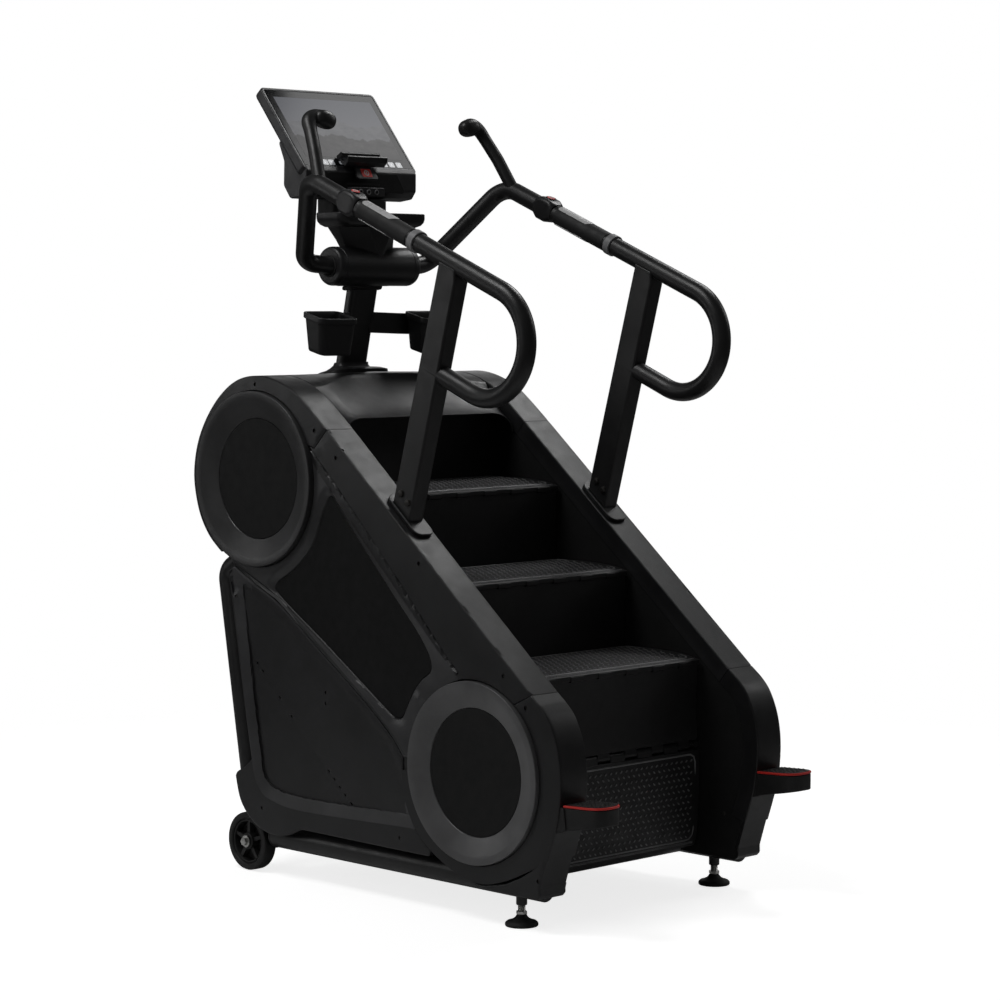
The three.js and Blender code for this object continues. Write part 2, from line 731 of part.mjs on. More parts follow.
// -------------------------------------------------------------- foot platforms
const PLATFORM_PLAN = [ // [x, y]
  [294, -170], [296, -232], [304, -258], [322, -273], [345, -277],
  [366, -273], [377, -260], [380.5, -240], [380, -170],
];
const PLATFORM_SIDE = [
  [-172, 307.5], [-280, 313], [-280, 278], [-266, 271], [-176, 248],
];

// The plan and the side view, intersected.
const footPlatform = () =>
  prismZ(PLATFORM_PLAN, [200, 400]).intersect(prismX(PLATFORM_SIDE, [290, 400]));

// ------------------------------------------------------------------------ mast
const COLUMN_Z = [1246, 1486];
const FLANGE = { x: across(66), y: [926, 996], z: [1238.5, 1247] };
const CROSS_PLATE = { x: across(TOP_IN_X + 17.4), y: [902, 960], z: [1230.5, 1239] };
const ARM_PLAN = [ // [x, y], the arm to the right cup holder
  [30, 930], [30, 944], [112, 913], [150, 907], [150, 892.6], [108, 898],
];
const ARM_Z = [1356, 1412];

const mast = () =>
  union(
    mastPrism(MAST_HALF, 16, COLUMN_Z),
    box(FLANGE.x, FLANGE.y, FLANGE.z),
    box(CROSS_PLATE.x, CROSS_PLATE.y, CROSS_PLATE.z),
    withMirror(prismZ(ARM_PLAN, ARM_Z)),
  );

// ----------------------------------------------------------------- console hub
const HUB_R = 50;
const HUB_HALF = 139;
const SADDLE_OUTLINE = [[868, 1487], [952, 1487], [946, 1545], [866, 1545]];
const SADDLE_HALF = 66;

// A cross cylinder on a block over the column, with sockets for the handrails.
function consoleHub() {
  const body = union(
    rodX(HUB, HUB_R, across(HUB_HALF), 24),
    prismX(SADDLE_OUTLINE, across(SADDLE_HALF)),
  );
  const socket = rodX(HUB, RAIL_R + 6, [HUB_HALF - 30, HUB_HALF + 5], 16);
  return cut(cutBothSides(body, socket), mastPrism(MAST_HALF + 0.5, 16.5, [1440, 1487.2]));
}

// ---------------------------------------------------------------- console neck
const NECK_RINGS = [ // [half width, front y, back y, z]
  [64, 862, 925, 1536],
  [92, 856, 955, 1620],
  [110, 858, 985, 1664],
];
const TRAY_PLAN = [ // [x, y]
  [-150, 846], [-136, 834], [136, 834], [150, 846],
  [150, 925], [120, 940], [-120, 940], [-150, 925],
];
const TRAY_Z = [1648, 1668];
const TRAY_POCKET = { x: [20, 138], y: [846, 912], z: [1654, 1680] };
const STEM = { x: across(92), y: [930, 1000], z: [1655, 1700] };

// A four-sided block whose bottom and top are two rings of the neck.
function funnel(lower, upper) {
  const geometry = new THREE.BoxGeometry(2, 2, 2);
  const corners = geometry.attributes.position;
  for (let i = 0; i < corners.count; i++) {
    const [halfX, frontY, backY, z] = corners.getZ(i) > 0 ? upper : lower;
    const y = corners.getY(i) > 0 ? backY : frontY;
    corners.setXYZ(i, Math.sign(corners.getX(i)) * halfX, y, z);
  }
  return solid(geometry);
}

// A funnel that widens upwards to a two-pocket tray, with a stem behind.
function consoleNeck() {
  const [bottom, middle, top] = NECK_RINGS;
  // Cut to the round hub and its block with a shut line.
  const neck = cut(
    union(funnel(bottom, middle), funnel(middle, top)),
    rodX(HUB, HUB_R + 0.8, across(200), 28),
    box(across(70), [860, 960], [1480, 1546]),
  );
  const tray = cutBothSides(
    prismZ(TRAY_PLAN, TRAY_Z),
    box(TRAY_POCKET.x, TRAY_POCKET.y, TRAY_POCKET.z),
  );
  return union(neck, tray, box(STEM.x, STEM.y, STEM.z));
}

// --------------------------------------------------------------------- display
const SLAB_OUTLINE = [
  [1098, 1991], [929, 1784], [923, 1729], [947, 1755], [1123, 1971], [1110, 1992],
];
const SLAB_HALF = 196;
const CHIN_OUTLINE = [
  [929.5, 1784], [923, 1729], [942, 1708], [990, 1702],
  [1016, 1740], [1012, 1800], [1040, 1858], [1000, 1850],
];
const CHIN_HALF = 172;
const SCREEN_LOW = [935, 1791.35]; // ends of the pocket on the front face
const SCREEN_HIGH = [1094, 1986.1];
const SCREEN_UP = [0.6325, 0.7746]; // unit vector up the front face
const POCKET_HALF = 189;

// The screen's section between two depths behind the front face, shortened by
// a margin at both ends.
function screenSection([near, far], margin) {
  const point = ([y, z], depth, shift) => [
    y + SCREEN_UP[1] * depth + SCREEN_UP[0] * shift,
    z - SCREEN_UP[0] * depth + SCREEN_UP[1] * shift,
  ];
  return [
    point(SCREEN_LOW, near, margin),
    point(SCREEN_HIGH, near, -margin),
    point(SCREEN_HIGH, far, -margin),
    point(SCREEN_LOW, far, margin),
  ];
}

// A slab leaning back, with a deeper chin and a pocket for the glass.
const displayHousing = () =>
  cut(
    union(
      prismX(SLAB_OUTLINE, across(SLAB_HALF)),
      prismX(CHIN_OUTLINE, across(CHIN_HALF)),
    ),
    prismX(screenSection([-6, 4], 0), across(POCKET_HALF)),
  );

const displayScreen = () =>
  prismX(screenSection([0.4, 3.6], 0.8), across(POCKET_HALF - 0.8));

// --------------------------------------------------- tablet ledge and stop tab
const LEDGE_OUTLINE = [
  [926, 1796.5], [914, 1791], [904, 1801], [900, 1813], [904, 1819], [920, 1813], [934, 1801],
];
const LEDGE_HALF = 66;
const STOP_TAB_OUTLINE = [
  [919, 1784], [921, 1776], [907, 1758], [899, 1757], [898, 1764], [909, 1783],
];
const STOP_TAB_HALF = 30;

// ----------------------------------------------------------------- cup holders
const CUP_X = [111, 239];
const CUP_Y = [809, 891];
const CUP_Z = 1408; // rim, at the middle
const CUP_WALL = 4;
const CUP_TAPER = 0.86; // bottom size over top size
const CUP_RISE = 0.25; // z gained per unit of y
const CUP_LEAN = 0.05; // y lost per unit of z

function cupHolder() {
  const middleX = (CUP_X[0] + CUP_X[1]) / 2;
  const middleY = (CUP_Y[0] + CUP_Y[1]) / 2;
  // Plan rectangle [x, y] with chamfered corners, inside the rim by a margin.
  const plan = (margin, chamfer) => {
    const [x0, x1] = trim(CUP_X, margin);
    const [y0, y1] = trim(CUP_Y, margin);
    return [
      [x0 + chamfer, y0], [x1 - chamfer, y0], [x1, y0 + chamfer], [x1, y1 - chamfer],
      [x1 - chamfer, y1], [x0 + chamfer, y1], [x0, y1 - chamfer], [x0, y0 + chamfer],
    ];
  };
  const tapered = (points, [z0, z1]) => {
    const geometry = extrude(points, z1 - z0);
    const corners = geometry.attributes.position;
    for (let i = 0; i < corners.count; i++) {
      if (corners.getZ(i) < 1e-6) {
        corners.setX(i, middleX + (corners.getX(i) - middleX) * CUP_TAPER);
        corners.setY(i, middleY + (corners.getY(i) - middleY) * CUP_TAPER);
      }
    }
    return solid(geometry.translate(0, 0, z0));
  };
  const outer = tapered(plan(CUP_WALL, 18), [CUP_Z - 97, CUP_Z - 9]);
  const rim = prismZ(plan(0, 18), [CUP_Z - 15, CUP_Z]);
  const hollow = tapered(plan(2 * CUP_WALL, 16), [CUP_Z - 93, CUP_Z + 5]);
  // Sheared so that the rim and the bottom slope down towards the climber.
  // The matrix is listed column by column.
  return cut(union(outer, rim), hollow).transform([
    1, 0, 0, 0,
    0, 1, CUP_RISE, 0,
    0, -CUP_LEAN, 1, 0,
    0, CUP_LEAN * CUP_Z, -CUP_RISE * middleY, 1,
  ]);
}

// ------------------------------------------------------------------- handrails
const LOOP_CENTRE = [117, 1347]; // of the rail's front end loop
const LOOP_R = 129;
const LOOP_STEPS = 14;
const RAIL_SLOPE = (22.4 * Math.PI) / 180;
const UP_RAIL = vec(0, Math.cos(RAIL_SLOPE), Math.sin(RAIL_SLOPE));
const OFF_RAIL = vec(0, -Math.sin(RAIL_SLOPE), Math.cos(RAIL_SLOPE)); // square to it, upwards
const LOOP_RISE = LOOP_R / Math.cos(RAIL_SLOPE); // from loop centre to rail line, along Z
const RAIL_END_Y = 300; // where the lower run ends, inside the post
const HUB_END = [vec(121.68, 892, 1531), vec(214.63, 905, 1541)]; // rail path from the hub
const HUB_END_BENDS = [50, 55];
const HORN_R = 17;
const HORN_BEND_R = 38;
const POST_X = [314, 362];
const POST_OUTLINE = [ // front edge downwards, then back edge upwards
  [201.5, 1540], [201.5, 1484], [359, 912],
  [420, 962], [259, 1530], [259, 1560],
];
const POST_FOOT_Y = 322;
const POD_Y = 583;

// Height and position of the sloping upper run's axis.
const railZ = (y) =>
  LOOP_CENTRE[1] + LOOP_RISE + (y - LOOP_CENTRE[0]) * Math.tan(RAIL_SLOPE);
const onRail = (y) => vec(RAIL_X, y, railZ(y));

// A round bar on the rail's axis.
const sleeve = (y, half, radius) =>
  bar(
    onRail(y).addScaledVector(UP_RAIL, -half),
    onRail(y).addScaledVector(UP_RAIL, half),
    radius,
    14,
  );

// The rail from the hub, down the slope, round the loop and back to the post.
function railTube() {
  const stations = rounded([...HUB_END, onRail(742), onRail(400)], HUB_END_BENDS);
  const [loopY, loopZ] = LOOP_CENTRE;
  for (let i = 0; i <= LOOP_STEPS; i++) {
    const angle = Math.PI / 2 + RAIL_SLOPE + (Math.PI * i) / LOOP_STEPS;
    const cos = Math.cos(angle);
    const sin = Math.sin(angle);
    stations.push([
      vec(RAIL_X, loopY + LOOP_R * cos, loopZ + LOOP_R * sin),
      vec(0, -sin, cos),
    ]);
  }
  stations.push([vec(RAIL_X, RAIL_END_Y, railZ(RAIL_END_Y) - 2 * LOOP_RISE), UP_RAIL]);
  return tube(stations, RAIL_R, 10);
}

// The rail with its collar, and an upper horn that ends in a knob.
function handrail() {
  const hornPath = [
    vec(RAIL_X - 1, 706, railZ(706)),
    vec(RAIL_X - 46, 796, 1900),
    vec(RAIL_X - 96, 782, 1894),
  ];
  const horn = tube(rounded(hornPath, [HORN_BEND_R]), HORN_R, 8);
  const knob = solid(
    new THREE.SphereGeometry(24, 12, 8)
      .scale(1.25, 0.9, 0.9)
      .translate(RAIL_X - 88, 783, 1894),
  );
  const collar = sleeve(354, 10, RAIL_R + 4);
  // The post's outline, widened all round to leave a shut line.
  const grownPost = prismX(
    POST_OUTLINE.map(([y, z], i) => [y + (i < 3 ? -0.8 : 0.8), z]),
    trim(POST_X, -0.5),
  );
  // Only the lower run is cut to the post, where the post closes the loop.
  const lowerRun = box([200, 480], [200, 420], [1100, 1360]);
  const endTrim = box([290, 390], [262, 330], [1180, 1330]);
  return cut(union(railTube(), horn, knob, collar), grownPost.intersect(lowerRun), endTrim);
}

// The post with its foot plate, cut to the underside of the rail.
function handrailPost() {
  const saddle = bar(onRail(60), onRail(600), RAIL_BORE_R, 14);
  const aboveRail = prismX(
    [[100, railZ(100)], [500, railZ(500)], [500, 1900], [100, 1900]],
    trim(POST_X, -5),
  );
  const footStart = creaseAt(POST_FOOT_Y);
  const footPlate = prismX(
    [
      along(footStart, 0, -0.6),
      along(footStart, 172, -0.6),
      along(footStart, 168, -9),
      along(footStart, 4, -9),
    ],
    [POST_X[0] - 4, POST_X[1] + 20],
  );
  const low = creaseAt(200);
  const high = creaseAt(560);
  const belowIncline = prismX(
    [along(low, 0, -0.6), along(high, 0, -0.6), along(high, 0, 300), along(low, 0, 300)],
    HOUSING_CUT,
  );
  const post = cut(prismX(POST_OUTLINE, POST_X), saddle, aboveRail);
  return cut(union(post, footPlate), belowIncline);
}

// ---------------------------------------------------------------- control pods
// A round bar that stands square to the rail, between two heights off its axis.
const podPlug = (radius, from, to) =>
  bar(
    onRail(POD_Y).addScaledVector(OFF_RAIL, from),
    onRail(POD_Y).addScaledVector(OFF_RAIL, to),
    radius,
    16,
  );

// A sleeve round the rail, with a hole on top for the push button.
const controlPod = () =>
  cut(
    sleeve(POD_Y, 36, RAIL_R + 7),
    sleeve(POD_Y, 50, RAIL_BORE_R),
    podPlug(11.5, RAIL_R + 2.6, 60),
  );

const podButton = () => podPlug(10.8, RAIL_R + 4.6, RAIL_R + 10);

// -------------------------------------------------------------------- assembly
const stage = new THREE.Group();
stage.position.set(0, -MIDDLE_Y, 0);
const root = new THREE.Group();
root.name = "stair_climber";
root.add(stage);

function add(name, part, finish) {
  const { vertProperties, triVerts } = part.getMesh();
  const geometry = new THREE.BufferGeometry();
  const positions = new Float32Array(vertProperties);
  geometry.setAttribute("position", new THREE.BufferAttribute(positions, 3));
  geometry.setIndex(new THREE.BufferAttribute(new Uint32Array(triVerts), 1));
  geometry.computeVertexNormals();
  const mesh = new THREE.Mesh(geometry, new THREE.MeshStandardMaterial(FINISHES[finish]));
  mesh.name = name;
  stage.add(mesh);
}

// Adds the right-hand piece as built and its mirror image on the left.
function addPair(name, right, finish) {
  add(name + "_right", right, finish);
  add(name + "_left", mirror(right), finish);
}

// Housings and covers
addPair("rail_cover", railCover(), "cover");
addPair("upper_cap", upperCap(), "cover");
addPair("front_cap", frontCap(), "cover");
addPair("upper_disc_cover", discCover(UPPER, UPPER_DISC_R, 19), "cover");
addPair("lower_disc_cover", discCover(LOWER, LOWER_DISC_R, 15), "cover");
addPair("centre_panel", centrePanel(), "inset");
addPair("rear_side_panel", rearSidePanel(), "cover");
add("top_shroud", topShroud(), "cover");
add("rear_cover", rearCover(), "cover");

// Frame and drive
add("base_frame", baseFrame(), "frame");
addPair("side_plate", sidePlate(), "darkSteel");
add("upper_shaft", shaft(UPPER, DRIVEN_END_X), "steel");
add("lower_shaft", shaft(LOWER, SHAFT_HALF), "steel");
addPair("step_chain", stepChain(), "darkSteel");
add("drive_pulley", drivePulley(), "steel");
add("drive_belt", driveBelt(), "belt");
add("alternator", alternator(), "darkSteel");
add("alternator_pulley", alternatorPulley(), "steel");

// Staircase
for (let step = 1; step <= 3; step++) {
  add("tread_" + step, tread().translate([0, ...noseOf(step)]), "step");
}
for (let step = 1; step <= 4; step++) {
  add("riser_" + step, riser(step), "step");
}
add("tread_0", hangingTread(), "step");

// Feet, wheels and platforms
addPair("levelling_foot", levellingFoot(), "rubber");
addPair("transport_wheel", latheX(WHEEL_PROFILE, WHEEL, 28), "rubber");
addPair("wheel_axle", wheelAxle(), "steel");
addPair("foot_platform", footPlatform(), "rubber");

// Mast and console
add("mast", mast(), "frame");
add("console_hub", consoleHub(), "cover");
add("console_neck", consoleNeck(), "cover");
add("display_housing", displayHousing(), "cover");
add("display_screen", displayScreen(), "glass");
add("tablet_ledge", prismX(LEDGE_OUTLINE, across(LEDGE_HALF)), "cover");
add("stop_tab", prismX(STOP_TAB_OUTLINE, across(STOP_TAB_HALF)), "red");
addPair("cup_holder", cupHolder(), "cover");

// Handrails
addPair("handrail", handrail(), "frame");
addPair("handrail_post", handrailPost(), "frame");
addPair("control_pod", controlPod(), "cover");
addPair("pod_button", podButton(), "red");

export default root;
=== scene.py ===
"""A stair-climbing machine: moving treads between two side housings, handrails and a console.

Lengths are millimetres until part() turns them into metres. X points to the machine's right,
Y from the low front end to the high rear end, and Z up. Y = 0 lies over the front levelling
feet, Y_SHIFT ahead of the scene's own origin. Shapes are (vertices, faces) pairs, and those
made for a pair of parts are the right-hand ones.
"""
import math

import bmesh
import bpy
import numpy as np
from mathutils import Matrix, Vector
from mathutils.geometry import delaunay_2d_cdt


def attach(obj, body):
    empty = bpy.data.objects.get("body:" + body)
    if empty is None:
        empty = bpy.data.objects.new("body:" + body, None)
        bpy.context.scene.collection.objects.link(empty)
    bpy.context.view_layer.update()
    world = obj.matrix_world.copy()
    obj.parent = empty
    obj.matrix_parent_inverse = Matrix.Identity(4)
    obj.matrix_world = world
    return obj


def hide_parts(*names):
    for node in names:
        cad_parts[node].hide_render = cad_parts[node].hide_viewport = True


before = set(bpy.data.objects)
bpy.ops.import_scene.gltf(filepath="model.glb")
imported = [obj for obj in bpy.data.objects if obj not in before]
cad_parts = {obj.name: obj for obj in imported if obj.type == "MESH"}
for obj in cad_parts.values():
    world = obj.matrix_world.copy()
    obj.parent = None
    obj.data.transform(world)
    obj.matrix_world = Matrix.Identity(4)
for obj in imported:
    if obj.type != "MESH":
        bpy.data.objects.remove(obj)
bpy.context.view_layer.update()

MM = 0.001
Y_SHIFT = 432.0
X_AXIS = (1, 0, 0)
OUTWARD = (1, 0, 0)
scene = bpy.context.scene
scene.view_settings.view_transform = "Standard"
scene.view_settings.look = "None"


# ------------------------------------------------------------------ materials
MATERIALS = {}  # name: (material, usual slot)


def set_inputs(tree, target, inputs):
    """Gives each input a value, or a link where the value is a socket."""
    for key, value in inputs.items():
        if isinstance(value, bpy.types.NodeSocket):
            tree.links.new(value, target.inputs[key])
        else:
            target.inputs[key].default_value = value


def node(tree, kind, inputs, **attributes):
    made = tree.nodes.new("ShaderNode" + kind)
    for key, value in attributes.items():
        setattr(made, key, value)
    set_inputs(tree, made, inputs)
    return made


def noise(tree, **inputs):
    return node(tree, "TexNoise", inputs).outputs[0]


def map_range(tree, value, source, target, **attributes):
    """Maps the source range (low, high) of a value to the target range."""
    ends = dict(enumerate((*source, *target), 1))
    return node(tree, "MapRange", {0: value, **ends}, **attributes).outputs[0]


def mix_colour(tree, factor, first, second):
    inputs = {"Factor": factor, "A": first, "B": second}
    return node(tree, "Mix", inputs, data_type="RGBA").outputs["Result"]


def new_material(name, slot=None):
    material = bpy.data.materials.new(name)
    material.use_nodes = True
    tree = material.node_tree
    tree.nodes.clear()
    output = node(tree, "OutputMaterial", {})
    bsdf = node(tree, "BsdfPrincipled", {})
    tree.links.new(bsdf.outputs[0], output.inputs[0])
    MATERIALS[name] = (material, slot)
    return tree, bsdf, output


def surface(name, slot, colour, rough, swing, grain, bump, pebbled=False, tint=0.25,
            metallic=0.0, spec=0.5, anis=0.0, edge=0.35):
    """Slow colour change, mottled roughness, a grain bump and a painted highlight on sharp edges.
    """
    patch_scale, mottle_scale = 7.0, 35.0
    tree, bsdf, _ = new_material(name, slot)
    coords = node(tree, "TexCoord", {}).outputs["Object"]
    slow = noise(tree, Scale=patch_scale, Detail=4, Vector=coords)
    if pebbled:
        fine = node(tree, "TexVoronoi", {"Scale": grain, "Vector": coords}).outputs[0]
    else:
        fine = noise(tree, Scale=grain, Detail=3, Vector=coords)
    shade = map_range(tree, slow, (0.3, 0.7), (1 - tint, 1 + tint))
    base = node(tree, "VectorMath", {0: colour, "Scale": shade}, operation="SCALE")
    # Painted highlight: sharp edges (by pointiness) turn lighter in patches, by up to `edge`.
    pointiness = node(tree, "NewGeometry", {}).outputs["Pointiness"]
    edge_highlight = map_range(tree, pointiness, (0.52, 0.66), (0.0, edge))
    patchy_edge_highlight = node(tree, "Math", {0: edge_highlight, 1: slow}, operation="MULTIPLY").outputs[0]
    highlight_colour = (*[min(1.0, c * 2.2 + 0.02) for c in colour], 1)
    mottle = noise(tree, Scale=mottle_scale, Detail=6, Vector=coords)
    relief_ = node(tree, "Bump", {"Strength": bump, "Distance": 0.0004, "Height": fine})
    set_inputs(tree, bsdf, {
        "Base Color": mix_colour(tree, patchy_edge_highlight, base.outputs[0], highlight_colour),
        "Roughness": map_range(tree, mottle, (0.3, 0.7), (rough - swing, rough + swing)),
        "Normal": relief_.outputs[0], "Metallic": metallic, "Specular IOR Level": spec,
        "Coat Weight": 0.0, "Coat Roughness": 0.2, "Anisotropic": anis})


PEBBLED = dict(pebbled=True)
# name, usual slot, colour, roughness, swing of the roughness, grain scale, grain bump, others
FINISHES = [
    ("cover_satin", "cover_black", (0.0155, 0.0155, 0.0165), 0.39, 0.05, 1100, 0.22, PEBBLED),
    # The disc rings are lighter copies of the cover plastic: painted light, brighter on the lower
    # ring.
    ("disc_satin", "disc_black", (0.046, 0.046, 0.047), 0.33, 0.05, 1100, 0.18, PEBBLED),
    ("disc_satin_low", "disc_black", (0.125, 0.125, 0.127), 0.33, 0.05, 1100, 0.18, PEBBLED),
    ("disc_face", "disc_black", (0.0055, 0.0055, 0.0057), 0.6, 0.06, 900, 0.25,
     dict(pebbled=True, spec=0.35)),
    ("inset_grain", "inset_black", (0.0042, 0.0042, 0.0045), 0.62, 0.06, 700, 0.45,
     dict(pebbled=True, spec=0.28)),
    ("powder_coat", "frame_black", (0.017, 0.017, 0.0175), 0.36, 0.06, 900, 0.3, {}),
    ("plate_powder", "plate_black", (0.006, 0.006, 0.006), 0.6, 0.08, 900, 0.35, {}),
    # The grip's light colour is painted glare from the lights above the treads.
    ("step_grip_painted_glare", "step_black", (0.20, 0.20, 0.204), 0.32, 0.07, 900, 0.25, {}),
    ("step_moulding", "step_black", (0.012, 0.012, 0.0125), 0.48, 0.07, 800, 0.4, PEBBLED),
    ("guard_matte", "plate_black", (0.006, 0.006, 0.0062), 0.7, 0.06, 900, 0.4, {}),
    ("rubber_moulded", "cover_black", (0.012, 0.012, 0.0122), 0.62, 0.08, 600, 0.5, {}),
    ("tyre_rubber", "wheel_black", (0.011, 0.011, 0.011), 0.55, 0.1, 500, 0.4, {}),
    ("zinc_plate", "zinc_bolt", (0.62, 0.62, 0.6), 0.28, 0.08, 1200, 0.2,
     dict(metallic=1.0, tint=0.12, edge=0.1)),
    ("turned_steel", "shaft_steel", (0.45, 0.45, 0.46), 0.32, 0.08, 1500, 0.3,
     dict(metallic=1.0, anis=0.5, edge=0.1)),
    ("oiled_steel", "zinc_bolt", (0.06, 0.058, 0.055), 0.4, 0.1, 700, 0.5, dict(metallic=0.8)),
    ("cast_iron", "alternator_casting", (0.10, 0.10, 0.105), 0.55, 0.1, 400, 0.8,
     dict(metallic=0.6)),
    ("cast_aluminium", "pulley_aluminium", (0.45, 0.46, 0.47), 0.42, 0.1, 600, 0.5,
     dict(metallic=1.0, edge=0.1)),
    # Bright steel plates; their near-white, mostly non-metallic colour is also a painted
    # highlight.
    ("contact_plate", "shaft_steel", (0.80, 0.80, 0.80), 0.3, 0.06, 1500, 0.15,
     dict(metallic=0.25, tint=0.06, edge=0.0)),
    ("collar_grey", "frame_black", (0.24, 0.24, 0.245), 0.42, 0.05, 900, 0.2, {}),
    ("red_moulded", "stop_red", (0.80, 0.035, 0.028), 0.42, 0.06, 800, 0.25,
     dict(tint=0.1, edge=0.1)),
    ("white_print", "stop_red", (0.75, 0.75, 0.74), 0.4, 0.05, 900, 0.1,
     dict(tint=0.04, edge=0.0)),
    ("bezel_satin", "cover_black", (0.022, 0.022, 0.024), 0.38, 0.05, 1200, 0.15, PEBBLED),
    ("port_black", "cover_black", (0.004, 0.004, 0.004), 0.35, 0.05, 900, 0.1, {}),
    # A lighter copy of the cover plastic, used as painted light on sloped banks and strips.
    ("cover_painted_light", "cover_black", (0.048, 0.048, 0.050), 0.34, 0.05, 1100, 0.15, PEBBLED),
]
for *row, others in FINISHES:
    surface(*row, **others)


# ------------------------------------------------------------------- objects
def part(name, shape, finish, slot=None, body="machine", replaces=False, facing=None,
         angle=38, weld=0.02, wall=0, bevel=0, seg=3, bevel_angle=35, weighted=True):
    """Makes an object; its face lying most square to `facing` looks that way.

    `angle` is where edges turn sharp, `wall` a thickness added inwards, and `replaces` says
    that the object stands in for the CAD node of the same name.
    """
    verts, faces = shape
    verts = (np.array(verts, float) - (0, Y_SHIFT, 0)) * MM
    mesh = bpy.data.meshes.new(name)
    mesh.from_pydata(verts.tolist(), [], [list(map(int, face)) for face in faces])
    bm = bmesh.new()
    bm.from_mesh(mesh)
    bmesh.ops.remove_doubles(bm, verts=bm.verts, dist=weld * MM)
    loose = [vert for vert in bm.verts if not vert.link_faces]
    bmesh.ops.delete(bm, geom=loose, context="VERTS")
    bmesh.ops.recalc_face_normals(bm, faces=bm.faces)
    if facing is not None:
        way = Vector(facing).normalized()
        best = max(bm.faces, key=lambda face: abs(face.normal.dot(way)) * face.calc_area())
        if best.normal.dot(way) < 0:
            bmesh.ops.reverse_faces(bm, faces=bm.faces)
    bm.to_mesh(mesh)
    bm.free()
    ob = bpy.data.objects.new(name, mesh)
    scene.collection.objects.link(ob)
    material, usual_slot = MATERIALS[finish]
    ob.data.materials.append(material)
    if wall:
        solid = ob.modifiers.new("wall", "SOLIDIFY")
        solid.thickness = wall * MM
        solid.offset = -1
        solid.use_even_offset = True
    if bevel:
        edge = ob.modifiers.new("edge", "BEVEL")
        edge.width = bevel * MM
        edge.segments = seg
        edge.limit_method = "ANGLE"
        edge.angle_limit = math.radians(bevel_angle)
    if ob.modifiers:
        depsgraph = bpy.context.evaluated_depsgraph_get()
        made = bpy.data.meshes.new_from_object(ob.evaluated_get(depsgraph))
        ob.modifiers.clear()
        ob.data = made
    ob.data.shade_smooth()
    ob.data.set_sharp_from_angle(angle=math.radians(angle))
    if weighted:
        normals = ob.modifiers.new("normals", "WEIGHTED_NORMAL")
        normals.keep_sharp = True
        normals.weight = 80
    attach(ob, body)
    if replaces:
        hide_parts(name)
    return ob


def pair(name, shape, finish, body="machine", facing=None, **options):
    """The right-hand piece and its mirror image."""
    made = []
    for side, sign, sided in (("right", 1, shape), ("left", -1, mirrored(shape))):
        toward = facing and (facing[0] * sign, *facing[1:])
        made.append(part(f"{name}_{side}", sided, finish, body=body.format(side=side),
                         facing=toward, **options))
    return made


# -------------------------------------------------------------- whole shapes
def mirrored(shape):
    verts, faces = shape
    return np.asarray(verts, float) * (-1, 1, 1), [tuple(reversed(face)) for face in faces]


def join(*shapes):
    all_verts, all_faces, count = [], [], 0
    for verts, faces in shapes:
        all_verts.append(np.asarray(verts, float))
        all_faces += [tuple(i + count for i in face) for face in faces]
        count += len(verts)
    return np.vstack(all_verts), all_faces


def both_sides(shape):
    return join(shape, mirrored(shape))


def place(shape, origin, x_to, y_to, z_to):
    """Moves a shape made about the origin into a frame of three axes."""
    verts, faces = shape
    return np.asarray(verts, float) @ np.array([x_to, y_to, z_to], float) + origin, faces


def move(shape, by):
    return shape[0] + np.asarray(by, float), shape[1]


def lift(points, height, axis):
    """2-D points with a coordinate along the axis put in: (y, z), (x, z) or (x, y) to 3-D."""
    return np.insert(np.asarray(points, float), "xyz".index(axis), height, axis=1)


def prism(outline, start, end, axis="x"):
    """A polygon extruded along an axis."""
    n = len(outline)
    verts = np.vstack([lift(outline, start, axis), lift(outline, end, axis)])
    sides = [(i, (i + 1) % n, n + (i + 1) % n, n + i) for i in range(n)]
    return verts, [tuple(range(n))[::-1], tuple(range(n, 2 * n))] + sides


def box(x0, x1, y0, y1, z0, z1):
    return prism([(x0, y0), (x1, y0), (x1, y1), (x0, y1)], z0, z1, "z")


def lathe(profile, seg, centre=(0, 0), axis="x"):
    """A profile of (radius, place along the axis) turned round the axis."""
    turn = np.radians(np.linspace(0, 360, seg + 1))[:seg]
    unit_circle = np.stack([np.cos(turn), np.sin(turn)], 1)
    verts = np.vstack([lift(np.array(centre) + radius * unit_circle, at, axis)
                       for radius, at in profile])
    faces = []
    for k in range(len(profile) - 1):
        for i in range(seg):
            j = (i + 1) % seg
            a, b, c, d = k * seg + i, k * seg + j, (k + 1) * seg + j, (k + 1) * seg + i
            if profile[k][0] < 1e-6:
                faces.append((a, c, d))
            elif profile[k + 1][0] < 1e-6:
                faces.append((a, b, d))
            else:
                faces.append((a, b, c, d))
    return verts, faces


def loft(rings, caps=True):
    """Joins rings of equal length."""
    n = len(rings[0])
    faces = [(k * n + i, k * n + (i + 1) % n, (k + 1) * n + (i + 1) % n, (k + 1) * n + i)
             for k in range(len(rings) - 1) for i in range(n)]
    if caps:
        faces += [tuple(range(n))[::-1], tuple((len(rings) - 1) * n + i for i in range(n))]
    return np.array([point for ring in rings for point in ring], float), faces


def sweep(path, radius, seg, caps=True):
    """A tube; its radius is a number, or maps 0..1 to (half width, half height)."""
    path = np.asarray(path, float)
    last = len(path) - 1
    headings = [unit(path[min(i + 1, last)] - path[max(i - 1, 0)]) for i in range(last + 1)]
    run = lengths(path)
    normal = unit(np.cross(np.cross(headings[0], (0, 0, 1)), headings[0]))
    rings = []
    for point, heading, t in zip(path, headings, run / run[-1]):
        normal = unit(normal - heading * (normal @ heading))
        side = np.cross(heading, normal)
        wide, high = radius(t) if callable(radius) else (radius, radius)
        turns = [2 * math.pi * k / seg for k in range(seg)]
        rings.append([point + side * wide * math.cos(a) + normal * high * math.sin(a)
                      for a in turns])
    return loft(rings, caps)


